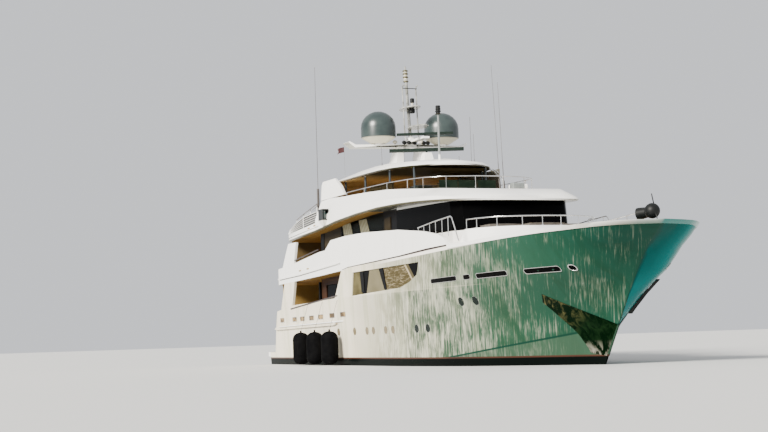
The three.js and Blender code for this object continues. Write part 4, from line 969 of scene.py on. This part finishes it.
# Painted shade: the grab rail on top is brownish grey as steel in shade, and faces that look down are near
# black.
rail_in_shade = louvre.fit(louvre.less(z, louvre.times(x, 0.13)), 9.55, 9.57)
louvre.finish(Base_Color=louvre.mix(rail_in_shade, color, (0.10, 0.082, 0.062)))
sill = [(-13.9, 7.255), (-13.7, 7.265), (-11.6, 7.37), (-8.96, 7.545)]
crest = [(-13.7, 7.48), (-12.6, 7.79), (-11.2, 8.04), (-8.96, 8.17)]
grip = [(-12.5, 7.96), (-11.2, 8.20), (-8.99, 8.56)]
slat_count, duct_aft, duct_long = 6, -13.66, 4.69
for side, tag in sides:
    plate = grid(24, 1)
    for point in plate.data.vertices:
        x = duct_aft + (point.co.x + 0.5) * duct_long
        point.co = (x, side * 3.535, along(sill, x) + 0.01 if point.co.y < 0 else along(crest, x) - 0.02)
    thicken(plate, 0.012, 0)
    settle(plate, f"louvre_plate_{tag}", black_paint)
    parts = []
    for share in [i / (slat_count - 1) for i in range(slat_count)]:
        line = [(x, side * 3.57, along(sill, x) + share * (along(crest, x) - 0.055 - along(sill, x)) + 0.025)
                for x in (-13.9 + 0.2 * share, -12.6, -11.2, -8.96)]
        parts.append(beam(line, 0.035, 0.030))
    y = side * 3.555
    for x in (-13.64, -11.3, -8.985):
        parts.append(block((x - 0.022, y - 0.02, along(sill, x) + 0.02),
                           (x + 0.022, y + 0.02, along(crest, x) - 0.01), 0.006))
    y = side * 3.55
    parts.append(tube([(x, y, z) for x, z in grip], 0.022))
    parts.append(tube([(x, y, z - 0.14) for x, z in grip[1:]], 0.014))
    for x in (-12.4, -11.2, -10.1, -9.01):
        parts.append(tube([(x, y, along(crest, x) - 0.03), (x, y, along(grip, x))], 0.016))
    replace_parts(settle(parts, f"louvre_slats_{tag}", louvre.material), f"louvre_{tag}")


# Mast fittings: three stacked navigation lamps on the pole, a camera on the upper shelf, floodlights and
# small aerial domes on the spreader, and thin aerials on the roof. Each is screwed to its bracket.
def rod(a, b, radius):
    """A turned rod between two points, its rims eased."""
    a, b = Vector(a), Vector(b)
    tall = (b - a).length
    ease = min(radius * 0.25, tall * 0.2)
    piece = turned([(0, 0), (radius - ease, 0), (radius, ease), (radius, tall - ease), (radius - ease, tall),
                    (0, tall)], 20)
    piece.rotation_euler = (b - a).to_track_quat("Z", "Y").to_euler()
    piece.location = a
    take(piece)
    bpy.ops.object.transform_apply(location=True, rotation=True)
    return piece


def stacked(profile, places):
    """Copies of a turned part up the leaning pole, each at its height and squashed by a factor."""
    pole, lead = Vector((-4.655, 0, 14.45)), Vector((-0.08, 0, 1)).normalized()
    parts = []
    for up, squash in places:
        parts.append(turned(profile, 24))
        for point in parts[-1].data.vertices:
            point.co = pole + lead * (up + point.co.z * squash) + Vector((point.co.x, point.co.y, 0))
    return parts


lamp_brass = mottled("lamp rims", (0.06, 0.055, 0.025), (0.14, 0.12, 0.06), 9.0, 0.4, Metallic=0.6)
lamp_glass = mottled("lamp glass", (0.30, 0.28, 0.22), (0.48, 0.45, 0.37), 9.0, 0.15)
stone = mottled("aerial dome", (0.50, 0.47, 0.38), (0.64, 0.60, 0.50), 4.0, 0.4)
settle(stacked([(0, 0), (0.10, 0), (0.15, 0.03), (0.15, 0.06), (0.10, 0.09), (0, 0.09)],
               [(0.05, 1), (0.28, 1), (0.46, 1), (0.62, 1)]), "lamp_rims", lamp_brass)
settle(stacked([(0, 0), (0.10, 0), (0.115, 0.05), (0.10, 0.14), (0, 0.14)],
               [(0.14, 1), (0.36, 0.75), (0.54, 0.75)]), "lamp_drums", lamp_glass)
parts = [rod((-3.9, 0, 13.32), (-3.9, 0, 13.56), 0.11), rod((-4.0, 0, 12.80), (-4.0, 0, 13.05), 0.17),
         block((-4.22, -0.40, 14.10), (-4.18, 0.40, 14.14), 0.01)]
for y in (-0.52, -0.25, 0.06, 0.56, 0.79):
    parts += [rod((-3.98, y, 11.29), (-3.80, y, 11.24), 0.10), rod((-3.95, y, 11.185), (-3.95, y, 11.27), 0.02)]
for k in range(3):
    z = 12.30 + k * 0.11
    parts.append(rod((-0.1, -0.25, z), (-0.1, -0.25, z + 0.07), 0.145 - 0.01 * k))
settle(parts, "mast_black_fittings", black_paint)
parts = [rod((-3.9, 0, 13.12), (-3.9, 0, 13.34), 0.06)]
for place in ((-4.2, -0.9, 11.19), (-4.0, 0.5, 11.19)):
    parts.append(turned([(0, 0), (0.05, 0), (0.05, 0.06), (0.12, 0.08), (0.125, 0.13), (0.10, 0.19),
                         (0.05, 0.22), (0, 0.23)], 24))
    for point in parts[-1].data.vertices:
        point.co += Vector(place)
settle(parts, "aerial_domes", stone)
parts = []
for (x, y, z), tall in (((-2.07, -2.50, 9.80), 1.0), ((-1.82, 1.59, 10.0), 0.35), ((-1.34, 2.05, 9.9), 2.4),
                        ((-0.47, 1.80, 9.85), 1.45), ((-3.76, -0.6, 10.1), 0.9)):
    parts.append(tube([(x, y, z), (x - 0.02 * tall, y, z + tall)], 0.012))
    parts.append(rod((x, y, z), (x, y, z + 0.18), 0.025))
settle(parts, "roof_aerials", fibre)


# Burgee: a swallow-tailed flag of red nylon bunting, sewn along its hoist to the halyard that runs
# from the tip of the spreader down to the roof. The halyard is 8 mm braid, hauled taut.
tip = Vector((-5.28, -3.30, 11.34))
_, cleat, _, _ = bpy.data.objects["hardtop_shell"].ray_cast(Vector((-6.56, -2.80, 13)), Vector((0, 0, -1)))
line = wire([tip.lerp(cleat, k / 15) for k in range(16)], 0.004)
settle(line, "halyard", cordage("halyard", (0.16, 0.15, 0.14), 90.0))
coat, fade = woven("red bunting", 900.0, 0.2, 0.8, 0.2)
coat.finish(Base_Color=coat.mix(fade, (0.025, 0.0005, 0.002), (0.06, 0.002, 0.004)))
flag = grid(20, 12)
shape(flag, lambda c, n: c.x > 0.5 - 0.3 * (1 - abs(c.y) * 2))
bpy.ops.mesh.delete(type="FACE")
rest()
for point in flag.data.vertices:
    u, v = point.co.x + 0.5, point.co.y + 0.5
    luff = tip.lerp(cleat, 0.10 + 0.15 * (1 - v))
    point.co = luff + Vector((-0.30 * u, 0.035 * math.sin(7 * u + v) * u - 0.30 * u, -0.10 * u * u))
thicken(flag, 0.002)
bpy.ops.object.shade_smooth()
settle(flag, "burgee", coat.material)


# Seats: foam cushions in piped covers of woven cloth, on white moulded bases, loose on the aft deck and
# under the roof. Each cover is sewn from panels, and the foam pushes its faces up between the seams.
def cushion(name, low, high, crown, material):
    """A crowned cushion between two corners, pulled in at its sides, with piping along its top and foot."""
    low, high = Vector(low), Vector(high)
    size, middle = high - low, (low + high) / 2
    rest()
    bpy.ops.mesh.primitive_cube_add(size=2)
    pad = bpy.context.object
    shape(pad)
    bpy.ops.mesh.subdivide(number_cuts=9)
    rest()
    thin = min(range(3), key=lambda k: size[k])
    flat = [k for k in range(3) if k != thin]
    for point in pad.data.vertices:
        c = point.co.copy()
        a, b = (c[k] for k in flat)
        swell = (1 - a ** 4) * (1 - b ** 4)
        pull = 1 - 0.03 * (1 - c[thin] ** 2) - 0.025 * max(0.0, abs(a * b) - 0.6)
        for k in flat:
            point.co[k] = middle[k] + c[k] * size[k] / 2 * pull
        point.co[thin] = middle[thin] + c[thin] * (size[thin] / 2 - crown * (1 - swell))
    eased(pad, 0.02, 3, 40)
    bpy.ops.object.shade_smooth()
    settle(pad, name, material)
    loops = []
    for sign in (-1, 1):
        ring = []
        for corner in ((-1, -1), (1, -1), (1, 1), (-1, 1), (-1, -1)):
            point = middle.copy()
            for k, way in zip(flat, corner):
                point[k] += way * (size[k] / 2 - 0.02)
            point[thin] += sign * (size[thin] / 2 - crown - 0.004)
            ring.append(point)
        loops.append(tube(ring, 0.007))
    return loops


coat, fade = woven("seat cloth", 800.0, 0.25, 0.9, 0.3)
cover = coat.finish(Base_Color=coat.mix(fade, (0.34, 0.27, 0.16), (0.52, 0.45, 0.31)))
piping = mottled("piping", (0.10, 0.07, 0.04), (0.20, 0.15, 0.09), 8.0, 0.8)
brown = mottled("brown seat cloth", (0.010, 0.008, 0.004), (0.028, 0.021, 0.011), 5.0, 0.95, 0.0)
base_olive = mottled("olive gelcoat", (0.005, 0.006, 0.004), (0.014, 0.015, 0.010), 2.0, 0.6, 0.05)
base = [block((-15.70, -1.70, 2.152), (-15.00, 1.70, 2.42), 0.03),
        block((-15.70, -1.70, 2.40), (-15.60, 1.70, 2.94), 0.02)]
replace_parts(settle(base, "aft_sofa_base", white_paint), "aft_sofa")
welts = []
for k in (1, 2, 3):
    y0, y1 = -2.80 + 1.12 * k + 0.01, -2.80 + 1.12 * k + 1.11
    welts += cushion(f"aft_sofa_seat_{k}", (-15.56, y0, 2.421), (-14.99, y1, 2.60), 0.03, cover)
    welts += cushion(f"aft_sofa_back_{k}", (-15.595, y0, 2.60), (-15.42, y1, 2.97), 0.03, cover)
sun_floor = 7.702
base = block((1.70, -1.50, sun_floor), (3.30, 0.30, 8.20), 0.04)
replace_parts(settle(base, "sundeck_seat_base", base_olive), "sundeck_seat")
for k in (1, 2):
    x0 = 0.90 + 0.80 * k
    welts += cushion(f"sundeck_seat_pad_{k}", (x0 + 0.01, -1.49, 8.201), (x0 + 0.79, 0.29, 8.50), 0.05, brown)
for k in (1, 2):
    x0 = -3.7 + 1.5 * k
    settle(block((x0 - 0.02, -3.12, sun_floor), (x0 + 1.46, -2.42, 8.12), 0.03), f"settee_base_{k}",
           base_olive)
    welts += cushion(f"settee_seat_{k}", (x0, -3.02, 8.121), (x0 + 1.44, -2.40, 8.30), 0.04, brown)
    welts += cushion(f"settee_back_{k}", (x0, -3.17, 8.25), (x0 + 1.44, -3.02, 8.74), 0.03, brown)
settle(welts, "cushion_piping", piping)
pad_cloth = mottled("sun pad cloth", (0.06, 0.05, 0.04), (0.11, 0.095, 0.08), 2.0, 0.9)
welts = []
for k, (y0, y1, x1) in enumerate(((-2.45, -0.86, 9.85), (-0.84, 0.84, 10.55), (0.86, 2.45, 9.85))):
    welts += cushion(f"sun_pad_{k + 1}", (8.86, y0, 5.881), (x1, y1, 6.05), 0.035, pad_cloth)
settle(welts, "sun_pad_piping", piping)


# Sun deck furniture: a bar with a dark stone top, lockers in gelcoat and low tinted wind screens
# inside the rail, all screwed down to the deck.
counter = block((-1.78, -1.18, sun_floor), (-0.82, 1.18, 8.72), 0.03)
shape(counter, lambda c, n: abs(n.x) > 0.9)
bpy.ops.mesh.inset(thickness=0.07, depth=-0.02, use_individual=True)
pale_green = mottled("bar gelcoat", (0.012, 0.018, 0.012), (0.030, 0.038, 0.028), 2.0, 0.45)
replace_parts(settle(counter, "sundeck_bar_counter", pale_green), "sundeck_bar")
settle(block((-1.80, -1.20, 8.722), (-0.80, 1.20, 8.768), 0.012), "sundeck_bar_top",
       mottled("stone top", (0.03, 0.035, 0.03), (0.10, 0.11, 0.09), 9.0, 0.25))
settle(block((2.9, 1.95, sun_floor), (3.6, 2.65, 8.40), 0.04), "sundeck_locker", white_paint)
settle(block((3.75, 1.6, sun_floor), (4.15, 2.2, 8.40), 0.04), "grey_locker",
       mottled("grey locker", (0.16, 0.18, 0.18), (0.26, 0.28, 0.27), 3.0, 0.45))
panes = [block((4.50, -2.35 + 0.97 * k, 7.72), (4.512, -1.42 + 0.97 * k, 8.46), 0.004) for k in range(3)]
settle(panes, "wind_screens",
       mottled("wind screen glass", (0.003, 0.008, 0.005), (0.014, 0.022, 0.014), 1.5, 0.1, 0.05))


# Studio: a pale floor at the waterline, under a soft sky and one broad warm light from ahead and to
# starboard, where the sun stood.
bpy.ops.mesh.primitive_plane_add(size=900)
floor = bpy.context.object
floor.name = "floor"
floor.data.materials.append(Finish("pale floor", 0.9, Base_Color=(0.55, 0.55, 0.54)).material)
world = bpy.data.worlds.new("soft light")
bpy.context.scene.world = world
world.use_nodes = True
world.node_tree.nodes["Background"].inputs[0].default_value = (0.86, 0.88, 0.92, 1)
world.node_tree.nodes["Background"].inputs[1].default_value = 1.0
sun = bpy.data.lights.new("window", "SUN")
sun.energy = 11.0
sun.angle = math.radians(20)
sun.color = (1.0, 0.96, 0.88)
lamp = bpy.data.objects.new("window", sun)
lamp.rotation_euler = Vector((0.40, -0.78, 0.48)).to_track_quat("Z", "Y").to_euler()
bpy.context.scene.collection.objects.link(lamp)
